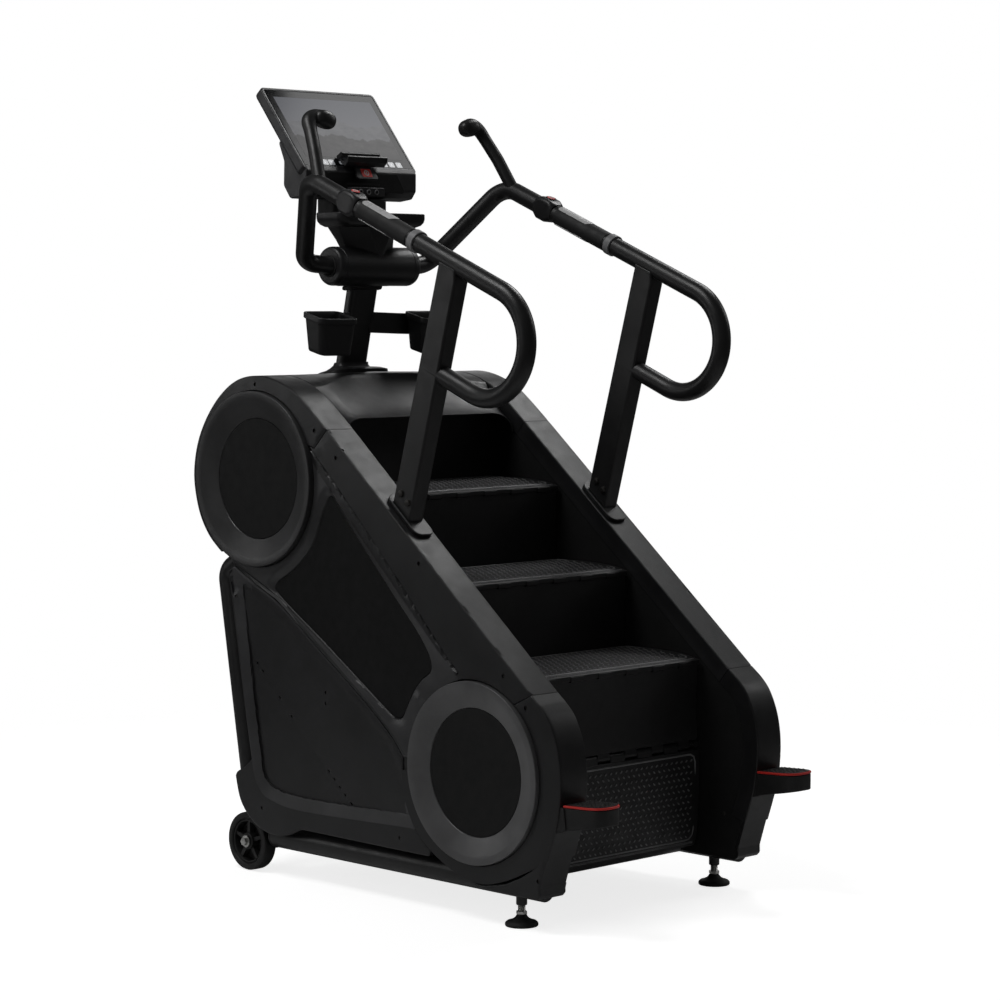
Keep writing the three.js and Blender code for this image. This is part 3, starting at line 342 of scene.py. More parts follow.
def bar(x0, x1, y, z, radius, seg):
    """A round bar lying across the machine."""
    return sweep([(x0, y, z), (x1, y, z)], radius, seg)


# --------------------------------------------------------- lines and outlines
def unit(vector):
    vector = np.asarray(vector, float)
    return vector / np.linalg.norm(vector)


def angle_between(first, second):
    """The angle in radians between two unit vectors."""
    return math.acos(max(-1, min(1, float(first @ second))))


def lengths(path):
    return np.r_[0, np.cumsum(np.linalg.norm(np.diff(path, axis=0), axis=1))]


def resample(path, step=None, count=None):
    """Even points along a path, by their spacing or by the number of spans."""
    path = np.asarray(path, float)
    run = lengths(path)
    count = count or max(2, int(run[-1] / step))
    t = np.linspace(0, run[-1], count + 1)
    return np.stack([np.interp(t, run, column) for column in path.T], 1)


def fillet(points, radii):
    """A 3-D polyline with rounded corners, in turns of about 4 degrees."""
    points = [np.asarray(point, float) for point in points]
    path = [points[0]]
    for before, corner, after, radius in zip(points, points[1:], points[2:], radii):
        heading, leaving = unit(corner - before), unit(after - corner)
        turn = angle_between(heading, leaving)
        inward = unit(leaving - heading * (heading @ leaving))
        start = corner - heading * (radius * math.tan(turn / 2))
        n = max(3, int(math.degrees(turn) / 4))
        for k in range(n + 1):
            t = turn * k / n
            path.append(start + heading * radius * math.sin(t)
                        + inward * radius * (1 - math.cos(t)))
    return np.array(path + [points[-1]])


def arc(centre, radius, start, end, n):
    t = np.radians(np.linspace(start, end, n + 1))
    return np.stack([centre[0] + radius * np.cos(t), centre[1] + radius * np.sin(t)], 1).tolist()


def circle(centre, radius, n):
    return arc(centre, radius, 0, 360 * (n - 1) / n, n - 1)


def rrect(x0, x1, y0, y1, r, n=6):
    """A rectangle with round corners."""
    corners = ((x1 - r, y1 - r, 0), (x0 + r, y1 - r, 90), (x0 + r, y0 + r, 180),
               (x1 - r, y0 + r, 270))
    return [point for x, y, a in corners for point in arc((x, y), r, a, a + 90, n)]


def round_poly(points, radii, n=5):
    """Rounds the corners of a closed polygon, but for those that are nearly straight."""
    points = [np.asarray(point, float) for point in points]
    out = []
    for i, corner in enumerate(points):
        back, ahead = points[i - 1] - corner, points[(i + 1) % len(points)] - corner
        back_len, ahead_len = np.linalg.norm(back), np.linalg.norm(ahead)
        back, ahead = back / back_len, ahead / ahead_len
        angle = angle_between(back, ahead)
        if angle > math.radians(176):
            out.append(corner.tolist())
            continue
        cut = min(radii[i] / math.tan(angle / 2), 0.48 * back_len, 0.48 * ahead_len)
        start, end = corner + back * cut, corner + ahead * cut
        for k in range(n + 1):
            t = k / n
            curve = (1 - t) ** 2 * start + 2 * t * (1 - t) * corner + t * t * end
            out.append(curve.tolist())
    return out


def catmull_rom(points, step):
    """A smooth curve from the second point up to, but not at, the last but one."""
    out = []
    for p0, p1, p2, p3 in zip(points, points[1:], points[2:], points[3:]):
        length = np.linalg.norm(p2 - p1)
        n = int(math.ceil(length / step))
        t0 = 0.0
        t1 = t0 + np.linalg.norm(p1 - p0) ** 0.5
        t2 = t1 + length ** 0.5
        t3 = t2 + np.linalg.norm(p3 - p2) ** 0.5
        for k in range(n):
            t = t1 + (t2 - t1) * k / n

            def blend(a, ta, b, tb):
                return (tb - t) / (tb - ta) * a + (t - ta) / (tb - ta) * b

            a1, a2, a3 = blend(p0, t0, p1, t1), blend(p1, t1, p2, t2), blend(p2, t2, p3, t3)
            b1, b2 = blend(a1, t0, a2, t2), blend(a2, t1, a3, t3)
            out.append(blend(b1, t1, b2, t2).tolist())
    return out


def spline(points, step, corner=42.0):
    """A smooth curve through points that keeps turns of more than `corner` degrees sharp."""
    points = np.asarray(points, float)
    last = len(points) - 1
    spans = np.diff(points, axis=0)
    sharp = [i for i in range(1, last) if
             math.degrees(angle_between(unit(spans[i - 1]), unit(spans[i]))) > corner]
    marks = [0] + sharp + [last]
    out = []
    for start, end in zip(marks[:-1], marks[1:]):
        run = points[start:end + 1]
        out += catmull_rom(np.vstack([2 * run[0] - run[1], run, 2 * run[-1] - run[-2]]), step)
    return out + [points[-1].tolist()]


def closed_spline(points, step):
    points = np.asarray(points, float)
    return catmull_rom(np.vstack([points[-1:], points, points[:2]]), step)


def offset(points, distance):
    """A line moved sideways, to the right of its travel."""
    points = np.asarray(points, float)
    out = []
    for i, point in enumerate(points):
        normals = []
        for start, end in ((points[max(i - 1, 0)], point),
                           (point, points[min(i + 1, len(points) - 1)])):
            edge = end - start
            length = np.linalg.norm(edge)
            if length > 1e-9:
                normals.append(np.array([edge[1], -edge[0]]) / length)
        mitre = normals[0] + normals[-1]
        out.append((point + mitre * (2 * distance) / float(mitre @ mitre)).tolist())
    return out


def inset(points, distance):
    """Moves a closed polygon's corners inwards."""
    ring = np.asarray(points, float)
    area = np.sum(ring[:, 0] * np.roll(ring[:, 1], -1) - np.roll(ring[:, 0], -1) * ring[:, 1])
    sign = -1 if area > 0 else 1
    return offset(np.vstack([ring[-1:], ring, ring[:1]]), distance * sign)[1:-1]


def insets(outline, *distances):
    """Closed guide lines inside an outline, for relief()."""
    return [(inset(outline, d), True) for d in distances]


def beside(line, *distances):
    """Open guide lines beside a line, for relief()."""
    return [(offset(line, d), False) for d in distances]


# -------------------------------------------------------- distances and reliefs
def each_span(line, points):
    """The start, the direction and the distance to the points of each span of a line."""
    for start, end in zip(line[:-1], line[1:]):
        along_ = end - start
        square = float(along_ @ along_)
        if square < 1e-12:
            continue
        t = np.clip(((points - start) @ along_) / square, 0, 1)
        yield start, along_, np.linalg.norm(points - (start + t[:, None] * along_), axis=1)


def seg_dist(line, points, closed=False):
    """Distance of each point to a polyline."""
    line = np.asarray(line, float)
    if closed:
        line = np.vstack([line, line[:1]])
    best = np.full(len(points), 1e9)
    for _, _, distance in each_span(line, points):
        best = np.minimum(best, distance)
    return best


def cross(start, along_, points):
    return along_[..., 0] * (points[:, 1] - start[..., 1]) \
        - along_[..., 1] * (points[:, 0] - start[..., 0])


def left_of(line, points):
    """True to the left of the nearest span's travel."""
    best = np.full(len(points), 1e9)
    out = np.zeros(len(points), bool)
    for start, along_, distance in each_span(np.array(line, float), points):
        hit = distance < best - 1e-9
        out[hit] = cross(start, along_, points)[hit] > 0
        best[hit] = distance[hit]
    return out


def right_of(line, points):
    """True to the right of the travel of the span whose middle is nearest."""
    line = np.array(line, float)
    middles = [(a + b) / 2 for a, b in zip(line[:-1], line[1:])]
    i = np.argmin(np.stack([np.linalg.norm(points - m, axis=1) for m in middles]), axis=0)
    start = line[:-1][i]
    return cross(start, line[1:][i] - start, points) < 0


def inside(poly, points):
    poly = np.asarray(poly, float)
    x, y = points[:, 0], points[:, 1]
    result = np.zeros(len(points), bool)
    for (xj, yj), (xi, yi) in zip(np.roll(poly, 1, axis=0), poly):
        if abs(yj - yi) > 1e-12:
            result ^= ((yi > y) != (yj > y)) & (x < (xj - xi) * (y - yi) / (yj - yi) + xi)
    return result


def signed(poly, points):
    """Distance inside a closed polygon, negative outside."""
    distance = seg_dist(poly, points, True)
    return np.where(inside(poly, points), distance, -distance)


def step01(t):
    t = np.clip(t, 0, 1)
    return t * t * (3 - 2 * t)


def edge_fall(poly, points, width):
    """1 at a polygon's edge, falling to 0 at `width` inside it."""
    return np.clip(1 - signed(poly, points) / width, 0, 1) ** 2


def relief(outline, height, step, lines=(), holes=()):
    """A sheet over a (y, z) outline whose x is height(points).

    Its edges follow the lines, which are (polyline, closed) pairs.
    """
    points = [tuple(point) for point in outline]
    edges = [(i, (i + 1) % len(points)) for i in range(len(points))]
    poly = np.array(points)
    keepers = [(poly, True)]
    for hole in holes:
        first, count = len(points), len(hole)
        points += [tuple(point) for point in hole]
        edges += [(first + i, first + (i + 1) % count) for i in range(count)]
        keepers.append((hole, True))
    for line, closed in lines:
        line = np.array(line)
        keep = inside(poly, line) & (seg_dist(poly, line, True) > 0.6)
        for hole in holes:
            keep &= ~inside(hole, line) & (seg_dist(hole, line, True) > 0.6)
        index = {}
        for i in np.flatnonzero(keep):
            index[i] = len(points)
            points.append(tuple(line[i]))
        count = len(line)
        for i in range(count if closed else count - 1):
            j = (i + 1) % count
            if i in index and j in index:
                edges.append((index[i], index[j]))
        keepers.append((line, closed))
    low, high = poly.min(0), poly.max(0)
    ys = np.arange(low[0], high[0], step)
    zs = np.arange(low[1], high[1], step * 0.866)
    grid = np.array([(y + (step / 2 if k % 2 else 0), z) for k, z in enumerate(zs) for y in ys])
    grid = grid[inside(poly, grid)]
    for hole in holes:
        grid = grid[~inside(hole, grid)]
    for line, closed in keepers:
        grid = grid[seg_dist(line, grid, closed) > 0.55 * step]
    points += [tuple(point) for point in grid]
    flat, _, faces, *_ = delaunay_2d_cdt([Vector(point) for point in points], edges, [], 0, 1e-4)
    flat = np.array([tuple(point) for point in flat])
    faces = np.array([face for face in faces if len(face) == 3])
    middles = flat[faces].mean(1)
    keep = inside(poly, middles)
    for hole in holes:
        keep &= ~inside(hole, middles)
    faces = faces[keep]
    a, b, c = flat[faces[:, 0]], flat[faces[:, 1]], flat[faces[:, 2]]
    area = (b[:, 0] - a[:, 0]) * (c[:, 1] - a[:, 1]) - (b[:, 1] - a[:, 1]) * (c[:, 0] - a[:, 0])
    faces[area < 0] = faces[area < 0][:, ::-1]
    faces = faces[np.abs(area) > 1e-6]
    return np.column_stack([height(flat), flat]), [tuple(face) for face in faces]


def closed_relief(sheet, back):
    """The sheet with a flat back at x = back and walls round its edges."""
    verts, faces = sheet
    n = len(verts)
    behind = verts.copy()
    behind[:, 0] = back
    edges = [(face[i], face[(i + 1) % 3]) for face in faces for i in range(3)]
    known = set(edges)
    walls = [(a, a + n, b + n, b) for a, b in edges if (b, a) not in known]
    backs = [tuple(i + n for i in reversed(face)) for face in faces]
    return np.vstack([verts, behind]), list(faces) + backs + walls


# ----------------------------------------------------------------- dimensions
# Side views are in (y, z).
SKIRT_X, FACE_X = 297.6, 391.0  # inner skirt and outer face of the side covers
UPPER, LOWER = (895.0, 1000.0), (110.5, 350.0)  # centres of the round covers
CREASE_LOW, CREASE_HIGH = (-75.0, 549.0), (627.0, 1131.0)  # ends of the sloping top edge
DIR_UP, DIR_IN = np.array([0.7698, 0.6383]), np.array([0.6383, -0.7698])
CREASE_LEN = 911.9
JOINT = 0.7  # gap from a crease end to the cover that stops there
RAIL_COVER_RUN = (JOINT, 911.2)
ROLL = 3.2  # radius of the rolled edge of the covers


def along(point, up, inward=0.0):
    """A point moved up the incline, and square to it into the housing."""
    return (np.asarray(point, float) + DIR_UP * up + DIR_IN * inward).tolist()


def nearest(path, point):
    return int(np.argmin(np.linalg.norm(np.array(path) - point, axis=1)))


# Edge over the upper end, from the crease round to the rear.
CAP = [CREASE_HIGH, (690, 1181), (741, 1217), (805, 1244), (872, 1257), (939, 1253),
       (987, 1237), (1040, 1201), (1089, 1148), (1124, 1087), (1140, 1025), (1140, 975),
       (1119, 901), (1083, 848), (1035, 808)]
# Edge round the front end, up to the crease.
FRONT = [(-106, 106), (-144, 216), (-160, 270), (-168, 325), (-168, 387), (-156, 446),
         (-131, 498), (-107, 524), CREASE_LOW]
# Both curves run on along the incline before they are cut, to meet it smoothly.
cap_curve = spline([along(CREASE_HIGH, -60)] + CAP, 9.0, corner=80)
CAP_PATH = cap_curve[nearest(cap_curve, CAP[0]):]
front_curve = spline(FRONT + [along(CREASE_LOW, 60)], 9.0, corner=80)
FRONT_PATH = front_curve[:nearest(front_curve, FRONT[-1]) + 1]
CREASE_PATH = [along(CREASE_LOW, t) for t in np.linspace(0, CREASE_LEN, 60)]
WHOLE = np.array(FRONT_PATH[:-1] + CREASE_PATH + CAP_PATH[1:])


# --------------------------------------------------------------- side covers
SCREWS = [(893, 1236), (668, 1128), (589, 1064), (295, 826), (12, 585), (-61, 519)]


def cover_x(points):
    """The outer face: a soft shoulder below the crease, with a small roll at the crease."""
    distance = seg_dist(WHOLE, points)
    x = FACE_X - 4.5 * (1 - np.minimum(distance, 75) / 75) ** 2
    t = np.clip(ROLL - distance, 0, ROLL)
    return x - ROLL + np.sqrt(np.maximum(ROLL ** 2 - t ** 2, 0))


def cover(path, inner):
    """A side cover: its outer face, the top face over the path and the inner skirt."""
    outline = path + inner
    inside_ = inside(outline, np.array(SCREWS, float))
    holes = [circle(at, 5.2, 18) for at, keep in zip(SCREWS, inside_) if keep]
    guides = beside(path, 0.35, 1.1, 2.1, 3.4, 8.0, 20, 36, 55, 75)
    outer = relief(outline, cover_x, 11.0, guides, holes)
    x0 = float(cover_x(np.array([path[len(path) // 2]]))[0])
    # (x, depth below the path) from the face over the top and down the skirt
    section = [(x0, 0), (375, 0), (350, 0), (325, 0), (SKIRT_X + 3.4, 0), (SKIRT_X + 1.7, 0.45),
               (SKIRT_X + 0.45, 1.7), (SKIRT_X, 3.4), (SKIRT_X, 14), (SKIRT_X, 30), (SKIRT_X, 45)]
    n = len(path)
    verts = np.vstack([lift(offset(path, depth), x, "x") for x, depth in section])
    faces = [(k * n + i, (k + 1) * n + i, (k + 1) * n + i + 1, k * n + i + 1)
             for k in range(len(section) - 1) for i in range(n - 1)]
    return join(outer, (verts, faces))


def cover_pair(name, path, inner):
    pair(name, cover(path, inner), "cover_satin", replaces=True, facing=OUTWARD, wall=3,
         bevel=0.8, seg=2, bevel_angle=55)


RAIL_SEAM = [(683, 1088), (532, 948), (361, 781), (196, 614), (159, 583)]
cover_pair("rail_cover", [along(CREASE_LOW, t) for t in np.linspace(*RAIL_COVER_RUN, 60)],
           [along(CREASE_HIGH, -JOINT, 62)] + spline(RAIL_SEAM, 14)
           + arc(LOWER, 219, 77, 127.5, 14))
cover_pair("upper_cap", [along(CREASE_HIGH, JOINT)] + CAP_PATH[1:],
           arc(UPPER, 222.5, -55, 155, 60) + [along(CREASE_HIGH, JOINT, 60)])

# Lower edge of the front cap.
BAND = spline([(356, 329), (343, 258), (308, 195), (256, 150), (171, 109), (87, 93), (16, 107),
               (-63, 140), (-128, 174)], 12)
front_start = int(np.argmin(np.abs(np.array(FRONT_PATH)[:, 1] - 176)))
cover_pair("front_cap", FRONT_PATH[front_start:-1] + [along(CREASE_LOW, -JOINT)],
           arc(LOWER, 217.6, 128.0, 355, 80) + BAND)

# The end cover under the front cap, round the front end of the bottom rail.
END = round_poly([(-147, 243), (-104.5, 108), (-105, 90), (-95, 79.5), (60, 79.5), (104, 82),
                  (128, 97), (87, 91), (32, 100), (6, 106), (-42, 127), (-74, 146),
                  (-106, 173), (-131, 211)],
                 [1, 6, 6, 12, 10, 12, 2, 30, 30, 30, 30, 30, 30, 30])
END_X = 388.5
END_SCREW = (-100, 125)
end_sheet = relief(END, lambda points: END_X - 4.0 * edge_fall(END, points, 5.0), 10,
                   insets(END, 1.2, 3.0, 5.0), [circle(END_SCREW, 5.0, 16)])
pair("base_end_cover", closed_relief(end_sheet, 303.0), "cover_satin", facing=OUTWARD,
     bevel=1.5, bevel_angle=60)

# --------------------------------------------------------------- round covers
RIM_X = 401.0
CENTRE_R = 151.5


def dish(depth, r):
    """Ring with a rolled rim, dished down to a fine groove round the centre disc."""
    profile = [(r - 1, 372.0), (r, 374.0), (r, RIM_X - 3.2)]
    profile += [(r - 1.9 + 1.9 * math.cos(t), RIM_X - 3.2 + 3.2 * math.sin(t))
                for t in np.radians([20, 45, 70, 90])]
    profile += [(r - 7, RIM_X - 0.2), (r - 16, RIM_X - 0.9)]
    for k in range(1, 9):
        t = k / 8
        profile.append((r - 16 + (CENTRE_R + 5 - r + 16) * t,
                        RIM_X - 0.9 - (depth - 1.6) * (0.85 * t + 0.15 * t * t)))
    return profile + [(CENTRE_R + 1.2, RIM_X - depth - 0.7), (CENTRE_R, RIM_X - depth - 2.2),
                      (151.4, 372), (218, 372), (r - 1, 372.0)]


# The ring finishes are painted light: lighter copies of the cover plastic.
for name, centre, radius, depth, finish in (
        ("upper_disc", UPPER, 219.8, 19, "disc_satin"),
        ("lower_disc", LOWER, 215.0, 15, "disc_satin_low")):
    pair(name + "_cover", lathe(dish(depth, radius), 144, centre), finish, replaces=True,
         facing=OUTWARD, angle=30)
    top = RIM_X - depth
    face = [(0, top - 1.6), (60, top - 1.6), (148.5, top - 1.6), (150.2, top - 2.2),
            (150.6, top - 3.2), (150.6, 374), (0, 374)]
    pair(name + "_centre", lathe(face, 120, centre), "disc_face", facing=OUTWARD, angle=30)

# --------------------------------------------------------------- centre panel
CENTRE = (arc(UPPER, 222.5, 160, 297, 40)
          + spline([(985, 780), (905, 738), (823, 702.5), (650, 586), (476, 468.5), (390, 401),
                    (356, 361)], 14)
          + arc(LOWER, 218.5, 3, 75, 24)
          + spline([(160, 579), (196, 611), (361, 778), (532, 945), (679, 1081)], 14))
# Edge of the sunk floor.
FLOOR = closed_spline([
    (630, 967), (644, 948), (657, 925), (669, 895), (694, 846), (735, 804), (783, 770),
    (822, 748), (833, 735), (831, 722), (820, 711), (658, 611), (555, 546), (406, 452),
    (394, 447), (378, 447), (366, 451), (350, 478), (322, 523), (298, 548), (271, 566),
    (265, 578), (268, 600), (298, 645), (382, 729), (468, 815), (555, 904), (606, 960),
    (618, 970)], 9)
RIDGE = [(640, 1010), (559, 932), (501, 875), (366, 749), (222, 616), (181, 583)]
LOW_SEAM = [(985, 778), (823, 701), (476, 467), (390, 399), (354, 360)]
SUNK_X, LAND_X = 376.5, 387.5


def centre_x(points):
    """Flat land beside the rail cover, then slopes from the ridge and seam to the floor."""
    depth = signed(FLOOR, points)  # > 0 over the sunk floor
    out = np.maximum(-depth, 0)
    to_ridge, to_seam = seg_dist(RIDGE, points), seg_dist(LOW_SEAM, points)
    slope = np.clip(out / np.maximum(out + np.minimum(to_ridge, to_seam), 8), 0, 1)
    x = SUNK_X + (LAND_X - SUNK_X) * np.where(to_ridge < to_seam, slope, np.sqrt(slope))
    # A short bank near the upper cover, where the floor's edge is a plain step.
    bank = SUNK_X + 10.0 * step01(out / 16)
    near = step01((330 - np.linalg.norm(points - np.array(UPPER), axis=1)) / 70)
    x = x * (1 - near) + bank * near
    beyond = (to_ridge > 0) & right_of(RIDGE, points)
    x = np.where(beyond & (near < 1) & (depth < 0), LAND_X * (1 - near) + x * near, x)
    # Shadow groove against the rail cover.
    x = x - 9.0 * step01((7.5 - seg_dist(RAIL_SEAM, points)) / 2.5) * (depth < 0)
    # Roll-off at the lower seam.
    x = x - 3.0 * (np.clip(1 - to_seam / 9, 0, 1)) ** 2 * (1 - 0.3 * near)
    return np.where(depth > 0, 373.0 + 3.5 * (1 - step01(depth / 2.2)), x)


def paint_light_on_banks(objects, test):
    """Paints light on the sloped banks: faces that pass the test get a lighter, glossier copy of
    the cover finish.
    """
    for ob in objects:
        ob.data.materials.append(MATERIALS["cover_painted_light"][0])
        count = len(ob.data.polygons)
        centres, normals = np.empty(3 * count), np.empty(3 * count)
        ob.data.polygons.foreach_get("center", centres)
        ob.data.polygons.foreach_get("normal", normals)
        centres = centres.reshape(-1, 3) / MM
        hit = test(np.column_stack([centres[:, 1] + Y_SHIFT, centres[:, 2]]))
        hit &= np.abs(normals.reshape(-1, 3)[:, 0]) > 0.5
        ob.data.polygons.foreach_set("material_index", hit.astype(np.int32))


def on_centre_bank(points):
    to_ridge, to_seam = seg_dist(RIDGE, points), seg_dist(LOW_SEAM, points)
    return (signed(FLOOR, points) < -0.4) & np.where(
        to_ridge < to_seam, ~right_of(RIDGE, points), to_seam > 9.0)


centre_lines = ([(FLOOR, True)] + insets(FLOOR, -1.2, 1.1, 2.4) + [(spline(RIDGE, 10), False)]
                + beside(RAIL_SEAM, 5.0, 7.6) + beside(LOW_SEAM, 3, -3, -9, 9))
panels = pair("centre_panel", closed_relief(relief(CENTRE, centre_x, 9.0, centre_lines), 369.0),
              "cover_satin", replaces=True, facing=OUTWARD, angle=32)
# Painted light on the centre panel's sloped banks.
paint_light_on_banks(panels, on_centre_bank)
# A filler block behind the point where the three side panels and the lower cover meet.
pair("seam_filler", prism(rrect(338, 376, 312, 382, 4, 4), 366, 380.5), "cover_satin",
     bevel=1.5, seg=2, angle=40)
# The sunk floor is a second, grained piece laid into the panel.
inlay = inset(FLOOR, 2.6)
inlay_sheet = relief(inlay, lambda points: 375.0 - 1.2 * edge_fall(inlay, points, 2.0), 22,
                     insets(inlay, 0.8, 2.0))
pair("centre_inlay", closed_relief(inlay_sheet, 372.5), "inset_grain", facing=OUTWARD, angle=32)

# ------------------------------------------------------------ rear side panel
REAR = (spline([(985, 775.5), (999, 764)], 10)
        + spline([(1001, 750), (980, 640), (945, 445), (915, 291)], 16)
        + spline([(915, 291), (930, 278), (950, 264), (973, 252), (979, 242), (974, 220),
                  (961, 183), (934, 150), (889, 121), (835, 109), (777, 115), (738, 130),
                  (724, 136)], 9)
        + spline([(690, 136), (450, 134), (262, 133)], 20) + [(257, 149)]
        + spline([(257, 149), (309, 194), (344, 257), (357.5, 329), (358, 357)], 12)
        + spline([(391, 396), (477, 464), (650, 582), (823, 698), (905, 734.5)], 16))
# Edges of the sloped strip round the recess, and the fold across the recess.
STRIP_OUT = spline([(990, 735), (960, 560), (915, 300), (899, 240), (868, 206), (822, 192),
                    (765, 184), (323, 192)], 12, corner=80)
STRIP_IN = spline([(950, 724), (925, 545), (882, 293), (874, 258), (858, 238), (822, 225),
                   (765, 217), (337, 223)], 12, corner=80)
FOLD = [(935, 748), (788, 624), (639, 483), (432, 308), (333, 228)]
RECESS = STRIP_IN + spline([(345, 224), (366, 320), (398, 380), (478, 440), (650, 560),
                            (824, 674), (940, 733)], 14)
REAR_SCREWS = [(636, 486), (637, 459), (363, 164), (874, 172), (972, 700)]


def rear_x(points):
    depth = signed(RECESS, points)
    out = np.maximum(-depth, 0)
    t = np.clip(out / np.maximum(out + seg_dist(STRIP_OUT, points), 6), 0, 1)
    beyond = left_of(STRIP_OUT, points)
    x = np.where(beyond, 389.5, 383.0 + 6.5 * t)
    # Above the fold the recess leans in towards the seam.
    lean = np.where(left_of(FOLD, points), -0.035 * seg_dist(FOLD, points), 0.0)
    x = np.where(depth > 0, 383.0 + lean, x)
    by_seam = (seg_dist(LOW_SEAM, points) < 60) & (points[:, 1] > 240)
    x = np.where((depth <= 0) & by_seam & ~beyond, 384.5, x)
    return x - 2.0 * edge_fall(REAR, points, 5.0)


def on_strip(points):
    return ((signed(RECESS, points) < 0) & ~left_of(STRIP_OUT, points)
            & (seg_dist(STRIP_IN, points) < 70) & (seg_dist(STRIP_OUT, points) < 70))


rear_lines = ([(STRIP_OUT, False), (STRIP_IN, False)] + beside(STRIP_IN, 1.5, -1.5)
              + [(spline(FOLD, 14), False)] + beside(STRIP_OUT, 1.5, -1.5)
              + insets(REAR, 1.2, 3.0, 5.0))
rear_sheet = relief(REAR, rear_x, 10.0, rear_lines, [circle(at, 4.6, 16) for at in REAR_SCREWS])
panels = pair("rear_side_panel", closed_relief(rear_sheet, 378.0), "cover_satin",
              replaces=True, facing=OUTWARD, angle=34)
# Painted light on the rear panel's sloped strip.
paint_light_on_banks(panels, on_strip)


def screw(r):
    return lathe([(0, -0.6), (1.6, -0.6), (2.2, 0), (3.4, 0.25), (r - 0.5, 0.0), (r, -0.6),
                  (r, -2.2), (0, -2.2)], 20)


heads = [move(screw(4.6), (float(cover_x(np.array([[y, z]]))[0]) - 3.4, y, z))
         for y, z in SCREWS]
# The panel's height is taken a little behind each hole, clear of its edge.
heads += [move(screw(4.2), (float(rear_x(np.array([[y + 12, z]]))[0]) - 2.6, y, z))
          for y, z in REAR_SCREWS]
heads.append(move(screw(4.6), (END_X - 3.2, *END_SCREW)))
pair("cover_screws", join(*heads), "oiled_steel")

# ----------------------------------------------------------------- top shroud
CAP_LINE = np.array(CAP_PATH)
CAP_REAR = int(np.argmax(CAP_LINE[:, 0]))  # the rearmost point of the cap's edge


def cap_z(y):
    return float(np.interp(y, CAP_LINE[:CAP_REAR, 0], CAP_LINE[:CAP_REAR, 1]))


def shroud_row(x):
    """The (y, z) line of the shroud at x, from its front lip over the crest to the rear."""
    across = abs(x)
    crown_lift = 5.0 * (1 - min(1, across / 250))
    crest_y = 850 - 76 * float(step01((across - 90) / 206))
    crest_z = cap_z(crest_y) + crown_lift
    t = max(0.0, min(1.0, (across - 226) / 70))
    lip_y, lip_z = 676 - 10 * t, 1154 - 52 * (1 - math.sqrt(max(0.0, 1 - t * t)))
    row = []
    for k in range(15):
        t = k / 14
        row.append((lip_y + (crest_y - 7 - lip_y) * t,
                    lip_z + (crest_z - 7 - lip_z) * t ** 1.22))
    row += [(crest_y - 3.4, crest_z - 2.9), (crest_y + 1, crest_z - 0.7), (crest_y + 6, crest_z)]
    start = int(np.searchsorted(CAP_LINE[:CAP_REAR, 0], crest_y + 14))
    for y, z in resample(CAP_LINE[start:], count=56)[:56]:
        lift_z = crown_lift * math.exp(-((y - 866) / 45) ** 2) if z > 1200 else 0
        row.append((y, z + lift_z))
    return row


stations = [-296.2, *np.linspace(-294, -226, 12), *np.linspace(-215, 215, 34),
            *np.linspace(226, 294, 12), 296.2]
shroud = np.vstack([lift(shroud_row(x), x, "x") for x in stations])
n = len(shroud) // len(stations)
shroud_faces = [(i * n + k, i * n + k + 1, (i + 1) * n + k + 1, (i + 1) * n + k)
                for i in range(len(stations) - 1) for k in range(n - 1)]
part("top_shroud", (shroud, shroud_faces), "cover_satin", facing=(0, 0, 1), wall=3.4,
     bevel=1.0, seg=2, bevel_angle=60, replaces=True, angle=50)


def flat_ring(y, z, half_x, half_y, radius, tilt=0.0):
    """A level rounded rectangle about x = 0, tilted along Y."""
    return [(a, y + b, z + tilt * b)
            for a, b in rrect(-half_x, half_x, -half_y, half_y, radius)]


def mast_y(z):
    return 976 + (z - 1250) * -0.226


# Flare where the mast leaves the shroud:
# half width, half depth, height, corner radius, shift along Y, tilt
FLARE = [(98, 62, 1246, 40, -6, -0.20), (96, 60, 1257, 40, -6, -0.20),
         (84, 50, 1262.5, 34, 0, -0.20), (68, 36, 1266, 24, 0, -0.20),
         (56, 26, 1270.5, 17, 0, -0.06), (50, 20.5, 1277, 13, 0, -0.06),
         (48.6, 18.8, 1284, 11.6, 0, -0.06)]
part("mast_surround", loft([flat_ring(mast_y(z) + shift, z, half_x, half_y, r, tilt)
                            for half_x, half_y, z, r, shift, tilt in FLARE]),
     "cover_satin", facing=(0, 0, 1), angle=60)

# ----------------------------------------------------------------- rear cover
# Made as (height, x, distance up the cover), then leant onto the rear.
rear_up = unit((0, 1004 - 908, 770 - 240))
REAR_FRAME = ((0, 908, 240.0), (0, rear_up[2], -rear_up[1]), X_AXIS, rear_up)
COVER_EDGE = rrect(-304, 304, -96, 552, 10, 4)
COVER_RECESS = rrect(-262, 262, 14, 500, 34, 6)
COVER_SCREWS = [(x, z) for x in (-285, 285) for z in (-70, 150, 340, 530)]
slots = [rrect(-110, 110, 60 + 22 * k, 69 + 22 * k, 4.4, 4) for k in range(7)]


def rear_cover_height(points):
    height = 4.0 - 3.2 * step01((signed(COVER_RECESS, points) + 3) / 6)
    return height - 2.0 * edge_fall(COVER_EDGE, points, 4.0)


sheet = relief(COVER_EDGE, rear_cover_height, 22,
               [(COVER_RECESS, True)] + insets(COVER_RECESS, 3, -3) + insets(COVER_EDGE, 1.2, 4),
               slots + [circle(at, 4.6, 14) for at in COVER_SCREWS])
part("rear_cover", place(closed_relief(sheet, -1.0), *REAR_FRAME), "cover_satin",
     replaces=True, facing=(0, 1, 0))
rear_heads = join(*[move(screw(4.2), (2.2, *at)) for at in COVER_SCREWS])
part("rear_screws", place(rear_heads, *REAR_FRAME), "oiled_steel")

